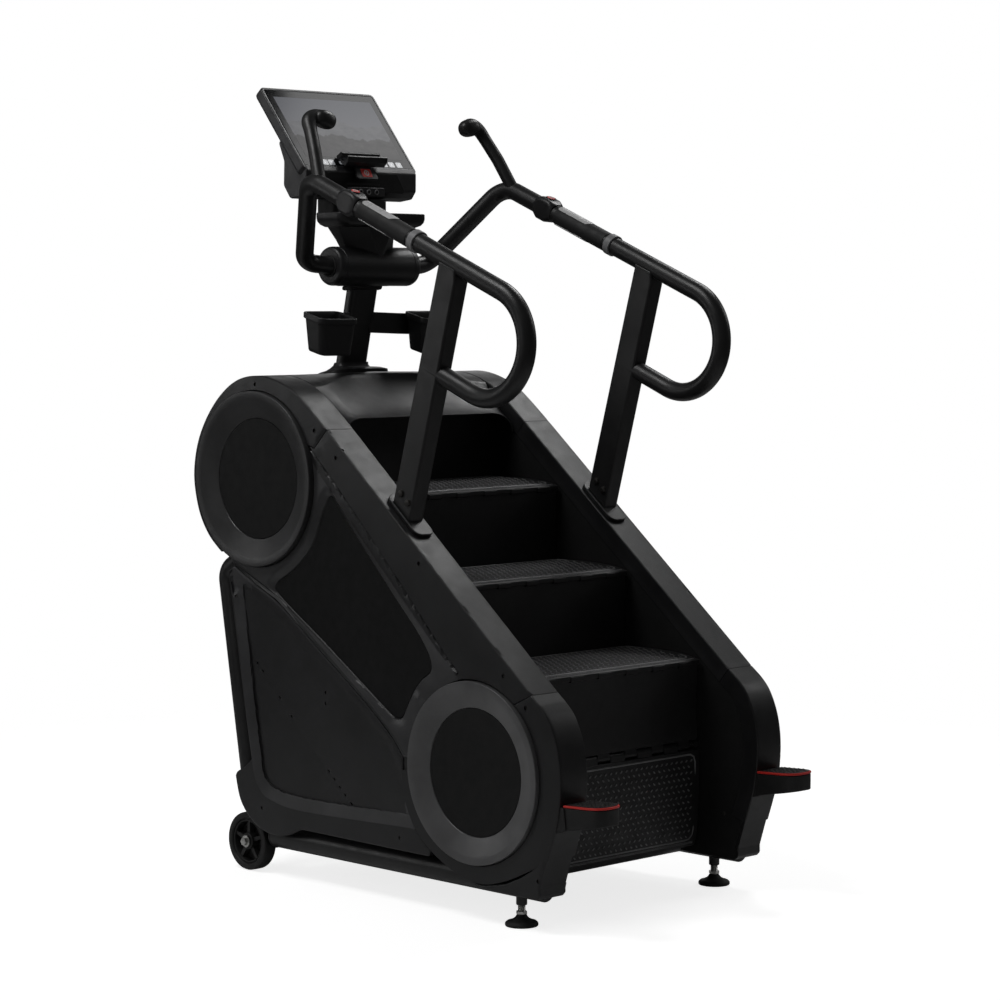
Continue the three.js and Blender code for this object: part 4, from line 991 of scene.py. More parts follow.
# --------------------------------------------------------------- inner guards
GUARD = offset(WHOLE, 9) + [(1010, 800), (980, 740), (905, 300), (886, 150), (860, 78),
                            (300, 80), (-60, 82), (-98, 84), (-106, 112)]
guard_sheet = relief(GUARD, lambda points: np.full(len(points), 302.3), 40, [],
                     [circle(UPPER, 42, 30), circle(LOWER, 42, 30)])
pair("inner_guard", closed_relief(guard_sheet, 300.9), "guard_matte", facing=(-1, 0, 0))
guard_head = mirrored(lathe([(0, 0.2), (1.7, 0.2), (2.3, 1.0), (3.6, 1.2), (4.6, 0.5),
                             (4.8, -0.6), (0, -0.6)], 18))
pair("guard_screws", join(*[move(guard_head, (300.8, y, z)) for y, z in
                            ((-118, 420), (-60, 190), (560, 940), (300, 720))]), "oiled_steel")

# ----------------------------------------------------------------- base frame
TUBE_X, TUBE_R, TUBE_Z, TUBE_END = 340, 30, 97, 868
FOOT_X, FOOT_Y = 337.7, 3.0
low_tube = sweep([(TUBE_X, y, TUBE_Z) for y in (-78, 400, TUBE_END)], TUBE_R, 48)
rear_tube = sweep(fillet([(TUBE_X, 956, 170), (TUBE_X, 1002, 440), (TUBE_X, 1055, 754),
                          (TUBE_X, 985, 796)], [900, 34]), TUBE_R, 48)
BRACKET = round_poly([(770, 80), (866, 66), (950, 46), (975, 52), (988, 84), (988, 232),
                      (950, 240), (902, 160), (780, 118)], [4, 10, 16, 14, 12, 6, 6, 20, 6])
cross_tubes = [sweep([(-330, y, z), (0, y, z), (330, y, z)], r, 32) for y, z, r in
               ((100, TUBE_Z, 24), (560, TUBE_Z, 24), (862, TUBE_Z, 24), (1030, 640, 22))]
foot_sleeve = lathe([(9.6, 49.5), (12, 49.5), (13, 51), (13, 84), (9.6, 84), (9.6, 49.5)], 36,
                    (FOOT_X, FOOT_Y), "z")
part("base_frame", join(both_sides(low_tube), both_sides(rear_tube),
                        both_sides(prism(BRACKET, 325.5, 331.2)), *cross_tubes,
                        both_sides(foot_sleeve)),
     "powder_coat", replaces=True, angle=35)
# (radius, distance in from the cap's rear face)
END_CAP = [(0, 0), (24, 0), (28.5, 1), (30.2, 3), (30.4, 7), (26, 8), (0, 8)]
pair("rail_end_cap", lathe([(r, TUBE_END + 8 - depth) for r, depth in END_CAP], 40,
                           (TUBE_X, TUBE_Z), "y"), "cover_satin")

# --------------------------------------------------------------------- treads
RUN, RISE, HALF = 242.4, 203.2, 291.0  # tread pitch along Y and Z, and half its width
NOSE_Y, NOSE_Z = 13.4, 563.6  # nosing of tread 1
HINGE_Y, HINGE_Z = NOSE_Y + 10.5, 355.0
HINGE_R = 8.6
# Height of a tread's top by the distance behind its nosing.
CROWN = np.array([(0, -2), (2, 0), (14, 4), (42, 9), (90, 13), (160, 15), (242.4, 15)], float)
KNUCKLES = [-237.5 + 95 * k for k in range(6)]
STRAPS = [-190 + 95 * k for k in range(5)]


def nosing(i):
    return NOSE_Y + RUN * (i - 1), NOSE_Z + RISE * (i - 1)


def crown(y):
    return float(np.interp(y, CROWN[:, 0], CROWN[:, 1]))


def oval(x, y, z, length, width, height, degrees, n=8):
    """A low oval ridge on a surface."""
    turn = math.radians(degrees)
    cos, sin = math.cos(turn), math.sin(turn)
    verts = []
    for scale, level in ((1.0, -0.4), (0.82, 0.75), (0.4, 1.0)):
        for i in range(n):
            a = 2 * math.pi * i / n
            u, v = scale * length / 2 * math.cos(a), scale * width / 2 * math.sin(a)
            verts.append((x + u * cos - v * sin, y + u * sin + v * cos, z + level * height))
    faces = [(k * n + i, k * n + (i + 1) % n, (k + 1) * n + (i + 1) % n, (k + 1) * n + i)
             for k in range(2) for i in range(n)]
    return verts, faces + [tuple(2 * n + i for i in range(n))]


def tread_body():
    """A tread with its nosing at the origin, and knuckles under the nosing."""
    top = spline([(2.0, 0.4), (14, 4), (42, 9), (90, 13), (160, 15), (241, 15)], 8)
    section = [(0.2, -1.6), (0.5, -0.5)] + top + [
        (242.6, 13.6), (243.2, 11), (243.2, -5), (150, -6), (30, -8), (16, -12), (2, -12),
        (0.4, -10.6), (0, -8)]
    knuckle = round_poly([(-1.6, -2.2), (-1.6, -13.2), (3, -15.4), (11, -15.0), (11, -1)],
                         [1.2, 3, 2, 2, 0.5], 3)
    tabs = [prism(knuckle, x - 21.5, x + 21.5) for x in KNUCKLES]
    return join(prism(section, -HALF, HALF), *tabs, prism(knuckle, -HALF, -HALF + 4))


def tread_grip():
    ridges = []
    for row in range(14):
        y = 27 + 14.6 * row
        for column in range(-14, 15):
            x = column * 18.0 + (9.0 if row % 2 else 0)
            if abs(x) <= 262:
                ridges.append(oval(x, y, crown(y), 10.0, 4.4, 2.0, 40 if row % 2 else -40))
    # Toothed grip along the nosing.
    ridges += [oval(tooth * 4.8, 10.5, crown(10.5), 9.0, 2.6, 1.2, 62)
               for tooth in range(-58, 59)]
    # A raised border round the grip.
    border = [(x, y, crown(y) + 0.2) for x, y in rrect(-276, 276, 18, 232, 20)]
    border = resample(border + border[:1], 14)
    return join(*ridges, sweep(border, lambda t: (2.2, 1.3), 8, caps=False))


def add_tread(i, shape, grip, body):
    part(f"tread_{i}", shape, "step_moulding", body=body, replaces=True, angle=32, weld=0.001)
    # The grip ridges carry painted glare.
    part(f"tread_grip_{i}", grip, "step_grip_painted_glare", body=body, angle=50, weld=0.001)


tread, grip = tread_body(), tread_grip()
for i in (1, 2, 3):
    at = (0, *nosing(i))
    add_tread(i, move(tread, at), move(grip, at), "stair_flight")

# The lowest tread hangs upright from a hinge under riser 1.
HANGING = ((0, HINGE_Y + 4, HINGE_Z - 12 - RUN), X_AXIS, (0, 0, 1), (0, -1, 0))
strap = round_poly([(HINGE_Y - 9, HINGE_Z - 13.5), (HINGE_Y + 8, HINGE_Z - 13.5),
                    (HINGE_Y + 8, HINGE_Z), (HINGE_Y - 8.6, HINGE_Z)], [1, 1, 3, 3], 3)
add_tread(0, join(place(tread, *HANGING),
                  *[prism(strap, x - 25.2, x + 25.2) for x in STRAPS],
                  *[bar(x - 25.2, x + 25.2, HINGE_Y, HINGE_Z, HINGE_R, 20) for x in STRAPS],
                  bar(-284, 284, HINGE_Y, HINGE_Z, 3.6, 16)),
          place(grip, *HANGING), "hanging_step")


def riser(i):
    y, z = nosing(i)
    top = z - 12.4
    bottom = HINGE_Z + 11.5 if i == 1 else z - RISE - 7
    front, back = [], []
    for k in range(15):
        t = k / 14
        bow = 3.5 * math.sin(math.pi * t)
        level = bottom + (top - bottom) * t
        front.append((y + 5 + bow, level))
        back.append((y + 16 + bow * 0.3, level))
    pieces = [prism(front + back[::-1], -HALF + 2, HALF - 2)]
    if i == 1:
        leaf = round_poly([(HINGE_Y - 8.6, HINGE_Z), (HINGE_Y + 7, HINGE_Z),
                           (HINGE_Y + 5, HINGE_Z + 13), (HINGE_Y - 5.4, HINGE_Z + 13)],
                          [2, 2, 1, 1], 3)
        for x in KNUCKLES:
            pieces.append(bar(x - 20.6, x + 20.6, HINGE_Y, HINGE_Z, HINGE_R, 20))
            pieces.append(prism(leaf, x - 20.6, x + 20.6))
        for x in (-285, 285):
            pieces.append(bar(x - 4, x + 4, HINGE_Y, HINGE_Z, HINGE_R, 20))
    # Stiffening ribs on the hidden face.
    for x in (-200, -100, 0, 100, 200):
        pieces.append(box(x - 2, x + 2, y + 14, y + 24, bottom + 20, top - 14))
    return join(*pieces)


for i in (1, 2, 3, 4):
    part(f"riser_{i}", riser(i), "step_moulding", body="stair_flight", replaces=True, angle=35)

# ------------------------------------------------------------- levelling feet
PAD = [(0, 0), (35, 0), (37.6, 0.6), (38.8, 2.2), (39, 4.5), (38.6, 7.5), (37, 9.4),
       (33, 11.6), (26, 14), (19, 17.5), (14.5, 21.5), (12.6, 25), (11.2, 26.6), (0, 26.6)]
PAD_RING = [(34.5, 9.4), (35.6, 10.4), (34.6, 11.4), (33.4, 10.6), (34.5, 9.4)]
NUT = [(8.8, 27.4), (12.4, 27.4), (13.2, 28.2), (13.2, 34.4), (12.4, 35.2), (8.8, 35.2),
       (8.8, 27.4)]
thread = [(0, 26.7), (8.6, 26.7)]
z = 27.0
while z < 90:
    thread += [(8.2, z), (9.0, z + 0.9)]
    z += 1.8
thread += [(8.2, z), (0, z)]
for sign, side in ((1, "right"), (-1, "left")):
    centre = (FOOT_X * sign, FOOT_Y)
    body = f"foot_{side}"
    part(f"levelling_foot_{side}",
         join(lathe(PAD, 72, centre, "z"), lathe(PAD_RING, 72, centre, "z")),
         "rubber_moulded", "foot_rubber", body, replaces=True, angle=40)
    part(f"foot_stud_{side}", lathe(thread, 28, centre, "z"), "zinc_plate", body=body, angle=50)
    part(f"foot_nut_{side}", lathe(NUT, 6, centre, "z"), "zinc_plate", body=body, angle=30,
         bevel=0.5, seg=2)

# --------------------------------------------------------------------- wheels
# Places along X are taken from the wheel's inner face.
WHEEL_AT = (957.0, 74.0)
WHEEL_X = (334.0, 0, 0)
# segments, profile
WHEEL_RINGS = [
    (96, [(57, 1), (70, 0), (72.5, 1.6), (73.8, 5), (74, 12), (74, 26), (73.8, 33),
          (72.5, 36.4), (70, 38), (60, 38), (57.5, 36), (56, 32), (56, 8), (57, 1)]),  # tyre
    (48, [(8.6, 2), (21, 2), (22, 3), (21, 35), (19.5, 36.4), (8.6, 36.4), (8.6, 2)]),  # hub
    (96, [(49, 4), (56, 4), (56, 33), (53.5, 34.5), (51, 33), (50, 29), (49, 9),
          (49, 4)]),  # rim
    (64, [(20, 9), (50, 9), (50, 13), (20, 13), (20, 9)]),  # web
]
AXLE_RINGS = [
    (6, [(0, 50.6), (6.4, 50.6), (9.6, 49.6), (10.8, 47.6), (11, 42.2), (0, 42.2)]),  # head
    (32, [(0, 50.8), (5, 50.6), (8.4, 49.4), (9.3, 48), (0, 47.6)]),  # dome on the head
    (48, [(9, 38.8), (14, 38.8), (15, 39.6), (15, 41.4), (14, 42.2), (9, 42.2),
          (9, 38.8)]),  # washer
    (32, [(0, -18), (8, -18), (8, 43), (0, 43)]),  # shank
    (6, [(0, -20), (11.2, -20), (12, -19), (12, -10), (11.2, -9), (0, -9)]),  # nut
]
spokes = []
for k in range(5):
    turn = math.radians(90 + 72 * k)
    cos, sin = math.cos(turn), math.sin(turn)
    spokes.append(prism([(WHEEL_AT[0] + u * cos - v * sin, WHEEL_AT[1] + u * sin + v * cos)
                         for u, v in ((19, -5.5), (50.5, -4), (50.5, 4), (19, 5.5))], 10, 30))
wheel = join(*[lathe(profile, seg, WHEEL_AT) for seg, profile in WHEEL_RINGS], *spokes)
pair("transport_wheel", move(wheel, WHEEL_X), "tyre_rubber", body="wheel_{side}",
     replaces=True, angle=35)
axle = join(*[lathe(profile, seg, WHEEL_AT) for seg, profile in AXLE_RINGS])
pair("wheel_axle", move(axle, WHEEL_X), "zinc_plate", replaces=True, angle=32)

# ------------------------------------------------------------- foot platforms
PLATFORM = spline([(293, -172), (293.5, -245), (299, -267), (312, -279), (336, -284),
                   (360, -281.5), (374.5, -271), (380.5, -250), (380.5, -172)], 6, corner=80)
PLATFORM_REAR = -172
TOP_SLOPE = 5.0 / 108.0  # rise per mm towards the front


def platform_slab(outline, low, high, low_slope=TOP_SLOPE):
    """A slab between two heights at its rear edge; both faces rise towards the front."""
    verts, faces = prism(outline, 0, 0, "z")
    n = len(outline)
    out = PLATFORM_REAR - verts[:, 1]
    verts[:, 2] = np.repeat([low, high], n) + out * np.repeat([low_slope, TOP_SLOPE], n)
    return verts, faces


pair("foot_platform", platform_slab(PLATFORM, 249.0, 303.0, 22 / 96.0 - TOP_SLOPE),
     "rubber_moulded", slot="platform_rubber", replaces=True, bevel=3.0, seg=4, bevel_angle=40,
     angle=50)
RED_RIM = [(x, min(y, PLATFORM_REAR)) for x, y in inset(PLATFORM, -1.2)]
pair("platform_rim", platform_slab(RED_RIM, 303.2, 308.4), "red_moulded", bevel=1.6, seg=3,
     bevel_angle=40, angle=50)
PLATFORM_PAD = [(x, min(y, -178)) for x, y in inset(PLATFORM, 3.0)]
PAD_TOP = 309.8
dots = []
for row in range(15):
    for column in range(13):
        x, y = 300 + column * 7.0 + (3.5 if row % 2 else 0), -184 - row * 7.2
        if signed(PLATFORM_PAD, np.array([[x, y]]))[0] > 4:
            dots.append(oval(x, y, PAD_TOP + (PLATFORM_REAR - y) * TOP_SLOPE, 5.4, 2.6, 1.5,
                             35 if column % 2 else -35, 6))
pair("platform_pad", join(platform_slab(PLATFORM_PAD, 306.0, PAD_TOP), *dots), "tyre_rubber",
     slot="platform_rubber", angle=40, weld=0.001)
# Side plate that carries each platform on the front cap.
SIDE_PLATE = round_poly([(-140, 306), (-176, 302), (-182, 256), (-176, 248), (-140, 238),
                         (-134, 300)], [6, 5, 6, 6, 4, 4])
pair("platform_bracket", prism(SIDE_PLATE, 300, 384), "rubber_moulded",
     slot="platform_rubber", bevel=2, seg=3, angle=40)

# ------------------------------------------------------------------ handrails
SLOPE = math.radians(22.4)
LOOP_Y, LOOP_Z, LOOP_R = 117.0, 1347.0, 129.0  # the bend at the rail's front end
RAIL_X, RAIL_R = 338.0, 23.0
RAIL_ALONG = np.array([0, math.cos(SLOPE), math.sin(SLOPE)])
RAIL_UP = np.array([0, -math.sin(SLOPE), math.cos(SLOPE)])


def rail_z(y):
    return LOOP_Z + LOOP_R / math.cos(SLOPE) + (y - LOOP_Y) * math.tan(SLOPE)


def rail_point(y):
    return np.array([RAIL_X, y, rail_z(y)])


def round_rail(shape, y):
    """A shape made about X, set round the rail."""
    return place(shape, rail_point(y), RAIL_ALONG, X_AXIS, RAIL_UP)


def above_rail(shape, y):
    """A shape made about X, stood upright on the rail."""
    return place(shape, rail_point(y), RAIL_UP, X_AXIS, RAIL_ALONG)


upper_run = fillet([(122, 892, 1531), (214.6, 905, 1541), rail_point(742), rail_point(400)],
                   [52, 62])
bend = [(RAIL_X, LOOP_Y + LOOP_R * math.cos(t), LOOP_Z + LOOP_R * math.sin(t))
        for t in np.linspace(math.pi / 2 + SLOPE, 1.5 * math.pi + SLOPE, 64)]
lower_z = LOOP_Z - LOOP_R / math.cos(SLOPE) + (312 - LOOP_Y) * math.tan(SLOPE)
rail = sweep(np.vstack([upper_run, bend, [(RAIL_X, 312, lower_z)]]), RAIL_R, 44)

horn_path = resample(fillet([(336, 703, rail_z(703) - 2), (316, 746, 1812), (291, 801, 1902),
                             (238, 783, 1896)], [140, 27]), 4.0)


def horn_section(t):
    """Swells towards the end and closes in a round tip."""
    wide = 16.6 + 4.2 * float(step01((t - 0.60) / 0.22))
    high = 16.0 + 2.0 * float(step01((t - 0.62) / 0.25))
    tip = max(0.0, (t - 0.905) / 0.095)
    close = math.sqrt(max(0.0, 1 - tip * tip))
    return max(0.3, wide * close), max(0.3, high * close)


def power(value, exponent=0.82):
    """A power that keeps the sign; it squares off a circle's sine and cosine."""
    return math.copysign(abs(value) ** exponent, value)


knob_rings = []
for j in range(1, 20):
    polar = math.pi * j / 20
    length, girth = power(math.cos(polar)), power(math.sin(polar))
    turns = [2 * math.pi * i / 36 for i in range(36)]
    knob_rings.append([(32.0 * length, 21.5 * girth * power(math.cos(t), 0.9),
                        23.0 * girth * power(math.sin(t), 0.9)) for t in turns])
cos, sin = math.cos(math.radians(12)), math.sin(math.radians(12))
knob = place(loft(knob_rings), (250, 784, 1893), (cos, 0, sin), (0, 1, 0), (-sin, 0, cos))
pair("handrail", join(rail, sweep(horn_path, horn_section, 36), knob), "powder_coat",
     replaces=True, angle=60)
collar = lathe([(22.6, -10), (26.2, -10), (27.2, -9), (27.2, 9), (26.2, 10), (22.6, 10),
                (22.6, -10)], 56)
pair("rail_collar", round_rail(collar, 354), "collar_grey", angle=40)
sleeve = lathe([(22.7, -92), (24.0, -92), (24.5, -91), (24.5, 91), (24.0, 92), (22.7, 92),
                (22.7, -92)], 56)
pair("grip_sleeve", round_rail(sleeve, 456), "rubber_moulded", angle=40)


def contact_plate(middle):
    """A curved plate on the sleeve; `middle` is its angle round the rail from the top."""
    across, down = 14, 24  # cells round the rail and along it
    verts, faces = [], []
    for radius in (24.2, 25.5):
        for j in range(down + 1):
            t = j / down
            # Full width near the pod, narrowing at the tip.
            share = (1 - t) / 0.12 + 0.05 if t > 0.88 else t / 0.03 + 0.75
            half = 40 * min(1, share)
            for i in range(across + 1):
                turn = math.radians(middle - half + 2 * half * i / across)
                ray = RAIL_UP * math.cos(turn) + np.array(X_AXIS) * math.sin(turn)
                verts.append(rail_point(540 - 112 * t) + radius * ray)
    row = across + 1
    layer = (down + 1) * row
    for j in range(down):
        for i in range(across):
            a = j * row + i
            face = (a, a + 1, a + row + 1, a + row)
            faces.append(tuple(k + layer for k in face))
            faces.append(face[::-1])
    for j in range(down):
        for i in (0, across):
            a = j * row + i
            faces.append((a, a + row, a + row + layer, a + layer))
    for i in range(across):
        for j in (0, down):
            a = j * row + i
            faces.append((a, a + 1, a + 1 + layer, a + layer))
    return np.array(verts), faces


# The plates' near-white colour is partly a painted highlight.
pair("pulse_plate", join(contact_plate(0), contact_plate(180)), "contact_plate", angle=50)
# Small screws in front of the collar.
rail_head = lathe([(0, -1), (1.7, -1), (2.4, 0.1), (3.6, 0.4), (4.3, -0.3), (4.3, -3),
                   (0, -3)], 18)
pair("rail_screws", join(*[move(rail_head, (RAIL_X + RAIL_R + 0.1, y, rail_z(y) - 1))
                           for y in (325, 292)]), "oiled_steel")

# Control pods: faceted sleeves with a push button on top.
POD_Y, BUTTON_Y = 583.5, 583
# place along the rail, half width, half height, corner radius
POD = [(-33, 23.4, 22.6, 20), (-32.2, 24.4, 23.6, 19), (-25, 25.4, 25.4, 14),
       (-14, 25.9, 28.6, 10), (14, 25.9, 28.6, 10), (24, 25.3, 25.2, 14),
       (32.2, 24.2, 23.4, 18), (33, 23.4, 22.6, 20)]
pod = loft([lift(rrect(-wide, wide, -high, high + 1.5, r, 5), at, "x")
            for at, wide, high, r in POD])
pair("control_pod", round_rail(pod, POD_Y), "cover_satin", replaces=True, facing=(0, 0, 1),
     angle=50)
button = lathe([(0, 33), (10, 33), (10.6, 32.4), (10.6, 29), (0, 29)], 40)
pair("pod_button", above_rail(button, BUTTON_Y), "red_moulded", body="button_{side}",
     replaces=True, angle=35)
symbol = join(lathe([(5.2, 33.0), (5.2, 33.5), (7.2, 33.5), (7.2, 33.0), (5.2, 33.0)], 36),
              box(33.0, 33.5, -1.0, 1.0, -3.4, 3.4))
pair("pod_symbol", above_rail(symbol, BUTTON_Y), "white_print", body="button_{side}", angle=35)
bezel = lathe([(11.2, 30.6), (11.6, 32.4), (13.2, 32.6), (14.4, 31.2), (14.4, 29), (11.2, 29),
               (11.2, 30.6)], 44)
pair("pod_bezel", above_rail(bezel, BUTTON_Y), "bezel_satin", angle=40)

# ---------------------------------------------------------------------- posts
POST_IN, POST_OUT = 315.2, 360.8
POST = [(201.5, rail_z(201.5) - 5), (201.5, 1486), (357.5, 917), (417, 966), (259, 1530),
        (259, rail_z(259) - 5)]
pair("handrail_post", prism(POST, POST_IN, POST_OUT), "powder_coat", replaces=True, bevel=9.5,
     seg=5, bevel_angle=20, angle=50, facing=OUTWARD)
# The flange lies on the sloping top of the rail cover.
FLANGE_FRAME = ((0, 322, CREASE_LOW[1] + 0.8291 * (322 - CREASE_LOW[0])),
                (0, 0.7698, 0.6383), X_AXIS, (0, -0.6383, 0.7698))
flange = prism(rrect(8, 150, 307, 367, 20, 7), 0.5, 9.2, "z")
pair("post_flange", place(flange, *FLANGE_FRAME), "powder_coat", bevel=2.4, seg=4,
     bevel_angle=40, angle=50, facing=(0, -0.64, 0.77))
bolt = lathe([(0, 5.4), (2.9, 5.4), (3.2, 5.9), (5.2, 5.7), (7.4, 4.6), (8.4, 2.6),
              (8.6, 0.4), (10.2, 0.4), (10.4, -0.4), (0, -0.4)], 32)
bolts = []
for at in ((386, 986), (363, 965)):
    bolts += [move(bolt, (POST_OUT + 0.4, *at)), move(mirrored(bolt), (POST_IN - 0.4, *at))]
pair("post_bolts", join(*bolts), "oiled_steel", angle=35)

# ----------------------------------------------------------------------- mast
part("mast", loft([flat_ring(mast_y(z), z, 45, 16, 11.5, -0.05)
                   for z in (1246, 1270, 1400, 1487)]), "powder_coat", replaces=True, angle=50)
arms = []
for sign in (1, -1):
    line = [(sign * 30, 934), (sign * 108, 906), (sign * 132, 900.5), (sign * 158, 898)]
    verts, faces = prism(offset(line, 3.2 * sign) + offset(line, -3.2 * sign)[::-1],
                         1357, 1411, "z")
    verts[:, 2] += 0.12 * (verts[:, 1] - 900)
    arms.append((verts, faces))
part("cup_arms", join(*arms), "powder_coat", bevel=1.2, seg=2, angle=40)

# ------------------------------------------------------------------------ hub
HUB_AT = (896.0, 1532.0)
half_hub = [(28.6, -139), (41, -139), (44.5, -138), (47.6, -135.5), (49.4, -131.5), (50, -127),
            (50, -118.6), (49.3, -118), (49.3, -116.4), (50, -115.8), (50, -60), (50, 0)]
hub = lathe(half_hub + [(r, -x) for r, x in half_hub[-2::-1]]
            + [(28.6, 112), (0.0, 110), (0.0, -110), (28.6, -112), (28.6, -139)], 96, HUB_AT)
# Keel under the hub, top down: half width, front y, rear y, height, corner radius
KEEL = [(96, 852, 946, 1528, 16), (98, 858, 950, 1508, 18), (94, 866, 956, 1494, 20),
        (84, 878, 958, 1486, 20), (70, 888, 956, 1482, 18), (66, 893, 953, 1481.5, 16)]
keel = [flat_ring((y0 + y1) / 2, z, half_x, (y1 - y0) / 2, r)
        for half_x, y0, y1, z, r in KEEL[::-1]]
part("console_hub", join(hub, loft(keel)), "cover_satin", replaces=True, angle=42)
socket = lathe([(23.3, 110), (23.3, 141), (25.4, 142.4), (28.2, 141.6), (28.8, 139),
                (28.8, 110), (23.3, 110)], 72, HUB_AT)
part("hub_sockets", both_sides(socket), "rubber_moulded", angle=40)
# half width, half depth, height, corner radius
CUFF = [(49, 20, 1471, 13), (54, 24.5, 1472.5, 16), (55.5, 26, 1476, 17), (55.5, 26, 1481, 17),
        (53, 24, 1483, 16)]
part("mast_cuff", loft([flat_ring(mast_y(z), z, half_x, half_y, r, -0.05)
                        for half_x, half_y, z, r in CUFF]), "rubber_moulded", angle=40)

# ----------------------------------------------------------------------- neck
# height; then half width and y of the front edge, of the widest edge and of the rear edge
NECK = [(1545, 3, 858, 70, 890, 62, 915), (1566, 7, 852, 78, 892, 66, 926),
        (1600, 26, 852, 88, 900, 74, 944), (1632, 42, 850, 100, 902, 86, 962),
        (1656, 55, 848, 112, 900, 98, 978), (1662, 58, 848, 116, 900, 100, 984)]


def neck_ring(z, front, front_y, wide, wide_y, rear, rear_y):
    right = [(front, front_y), (wide, wide_y), (wide * 0.985, wide_y + 16), (rear, rear_y),
             (rear * 0.8, rear_y + 8)]
    left = [(-x, y) for x, y in right]
    return lift(left[:1] + right + left[:0:-1], z, "z")


part("console_neck", loft([neck_ring(*row) for row in NECK]), "cover_satin", replaces=True,
     bevel=5, seg=4, bevel_angle=24, angle=40)
part("console_stem", loft([lift(rrect(-92, 92, 926, 1000, 12, 5), z, "z")
                           for z in (1650, 1706)]), "rubber_moulded", angle=50)
# A shallow dish with a rolled rim: inset in x, inset in y, height, corner radius
TRAY = [(30, 12, 1632, 14), (12, 4, 1638, 20), (3, 1.5, 1646, 22), (0, 0, 1654, 24),
        (0, 0, 1666, 24), (0.8, 0.8, 1667.6, 24), (2.4, 2.4, 1668.2, 23),
        (4.4, 4.4, 1667.4, 22), (6, 6, 1664, 20), (9, 9, 1658, 17), (13, 12, 1656.6, 14)]
tray = [lift(rrect(-150 + dx, 150 - dx, 833 + dy, 946 - dy * 0.4, r, 7), z, "z")
        for dx, dy, z, r in TRAY]
part("accessory_tray", loft(tray), "cover_satin", angle=44)
ribs = [bar(sign * 82, sign * 132, 858 + 8.5 * k, 1656.8, 1.7, 10)
        for k in range(7) for sign in (1, -1)]
part("tray_ribs", join(*ribs), "rubber_moulded", angle=50)

# -------------------------------------------------------------------- display
# Made as (x, distance up the glass, distance out of the glass).
DISPLAY_AT = np.array([0, 929.0, 1784.0])
UP_GLASS = np.array([0, 0.6325, 0.7746])
OUT_OF_GLASS = (0, -0.7746, 0.6325)


def on_display(*shapes):
    return place(join(*shapes), DISPLAY_AT, X_AXIS, UP_GLASS, OUT_OF_GLASS)


def display_loft(levels):
    """Lofts rings given as (inset from the housing's outline, distance out)."""
    return on_display(loft([
        lift(rrect(-196 + e, 196 - e, -9 + e, 270 - e, max(1.0, 14 - e)), out, "z")
        for e, out in levels]))


part("display_housing", display_loft([
    (30, -33.5), (12, -32.6), (4, -30), (0.8, -26.5), (0, -22), (0, -4), (0.6, -1.6),
    (2.0, -0.3), (3.6, 0.0), (7.4, 0.0), (8.2, -0.5), (8.4, -1.6)]),
    "bezel_satin", replaces=True, angle=40)
vents = [prism(rrect(-70, 70, 70 + 13 * k, 70 + 13 * k + 4.4, 2.1, 3), -34.6, -33.2, "z")
         for k in range(11)]
part("display_vents", on_display(*vents), "port_black", angle=40)


def glass_material():
    tree, bsdf, _ = new_material("screen_glass", "screen_glass")
    coords = node(tree, "TexCoord", {}).outputs["Object"]
    smear = noise(tree, Scale=35, Vector=coords)
    set_inputs(tree, bsdf, {
        "Base Color": (0.006, 0.0065, 0.0075, 1), "Specular IOR Level": 0.07,
        "Coat Weight": 0.0, "Coat Roughness": 0.04,
        "Roughness": map_range(tree, smear, (0, 1), (0.05, 0.11))})


def picture_material():
    """The lit picture: two mountain ridges of noise under a plain sky, in greys."""
    tree, bsdf, output = new_material("screen_picture", "screen_glass")
    plane = node(tree, "UVMap", {}, uv_map="screen").outputs[0]
    split = node(tree, "SeparateXYZ", {0: plane})
    across, up = split.outputs[0], split.outputs[1]

    def calc(operation, first, second):
        return node(tree, "Math", {0: first, 1: second}, operation=operation).outputs[0]

    def below_ridge(seed, scale, base, height, soft=0.012):
        """1 below a jagged skyline and 0 above it."""
        line = node(tree, "CombineXYZ", {0: calc("MULTIPLY", across, scale), 1: seed})
        jag = noise(tree, Scale=1.0, Detail=8, Roughness=0.62, Vector=line.outputs[0])
        skyline = calc("ADD", calc("MULTIPLY", calc("SUBTRACT", jag, 0.5), height), base)
        fade = calc("DIVIDE", calc("SUBTRACT", skyline, up), soft)
        return calc("MINIMUM", calc("MAXIMUM", fade, 0.0), 1.0)

    rock = noise(tree, Scale=11, Detail=9, Roughness=0.66, Vector=plane)
    sky = mix_colour(tree, up, (0.13, 0.13, 0.14, 1), (0.075, 0.078, 0.088, 1))
    far = mix_colour(tree, rock, (0.05, 0.052, 0.058, 1), (0.135, 0.135, 0.14, 1))
    near = mix_colour(tree, rock, (0.018, 0.018, 0.02, 1), (0.075, 0.073, 0.072, 1))
    far_ridge = below_ridge(seed=3.1, scale=3.2, base=0.60, height=0.55)
    colour = mix_colour(tree, far_ridge, sky, far)
    near_ridge = below_ridge(seed=8.7, scale=4.4, base=0.36, height=0.42)
    colour = mix_colour(tree, near_ridge, colour, near)
    light = node(tree, "Emission", {"Color": colour, "Strength": 1.05})
    set_inputs(tree, bsdf, {"Base Color": (0.004, 0.004, 0.005, 1),
                            "Specular IOR Level": 0.05, "Roughness": 0.14})
    both = node(tree, "AddShader", {0: bsdf.outputs[0], 1: light.outputs[0]})
    tree.links.new(both.outputs[0], output.inputs[0])


glass_material()
part("display_screen", display_loft([(8.8, -2.6), (8.8, -0.6), (9.4, -0.1), (10.4, 0.1)]),
     "screen_glass", replaces=True, angle=40)

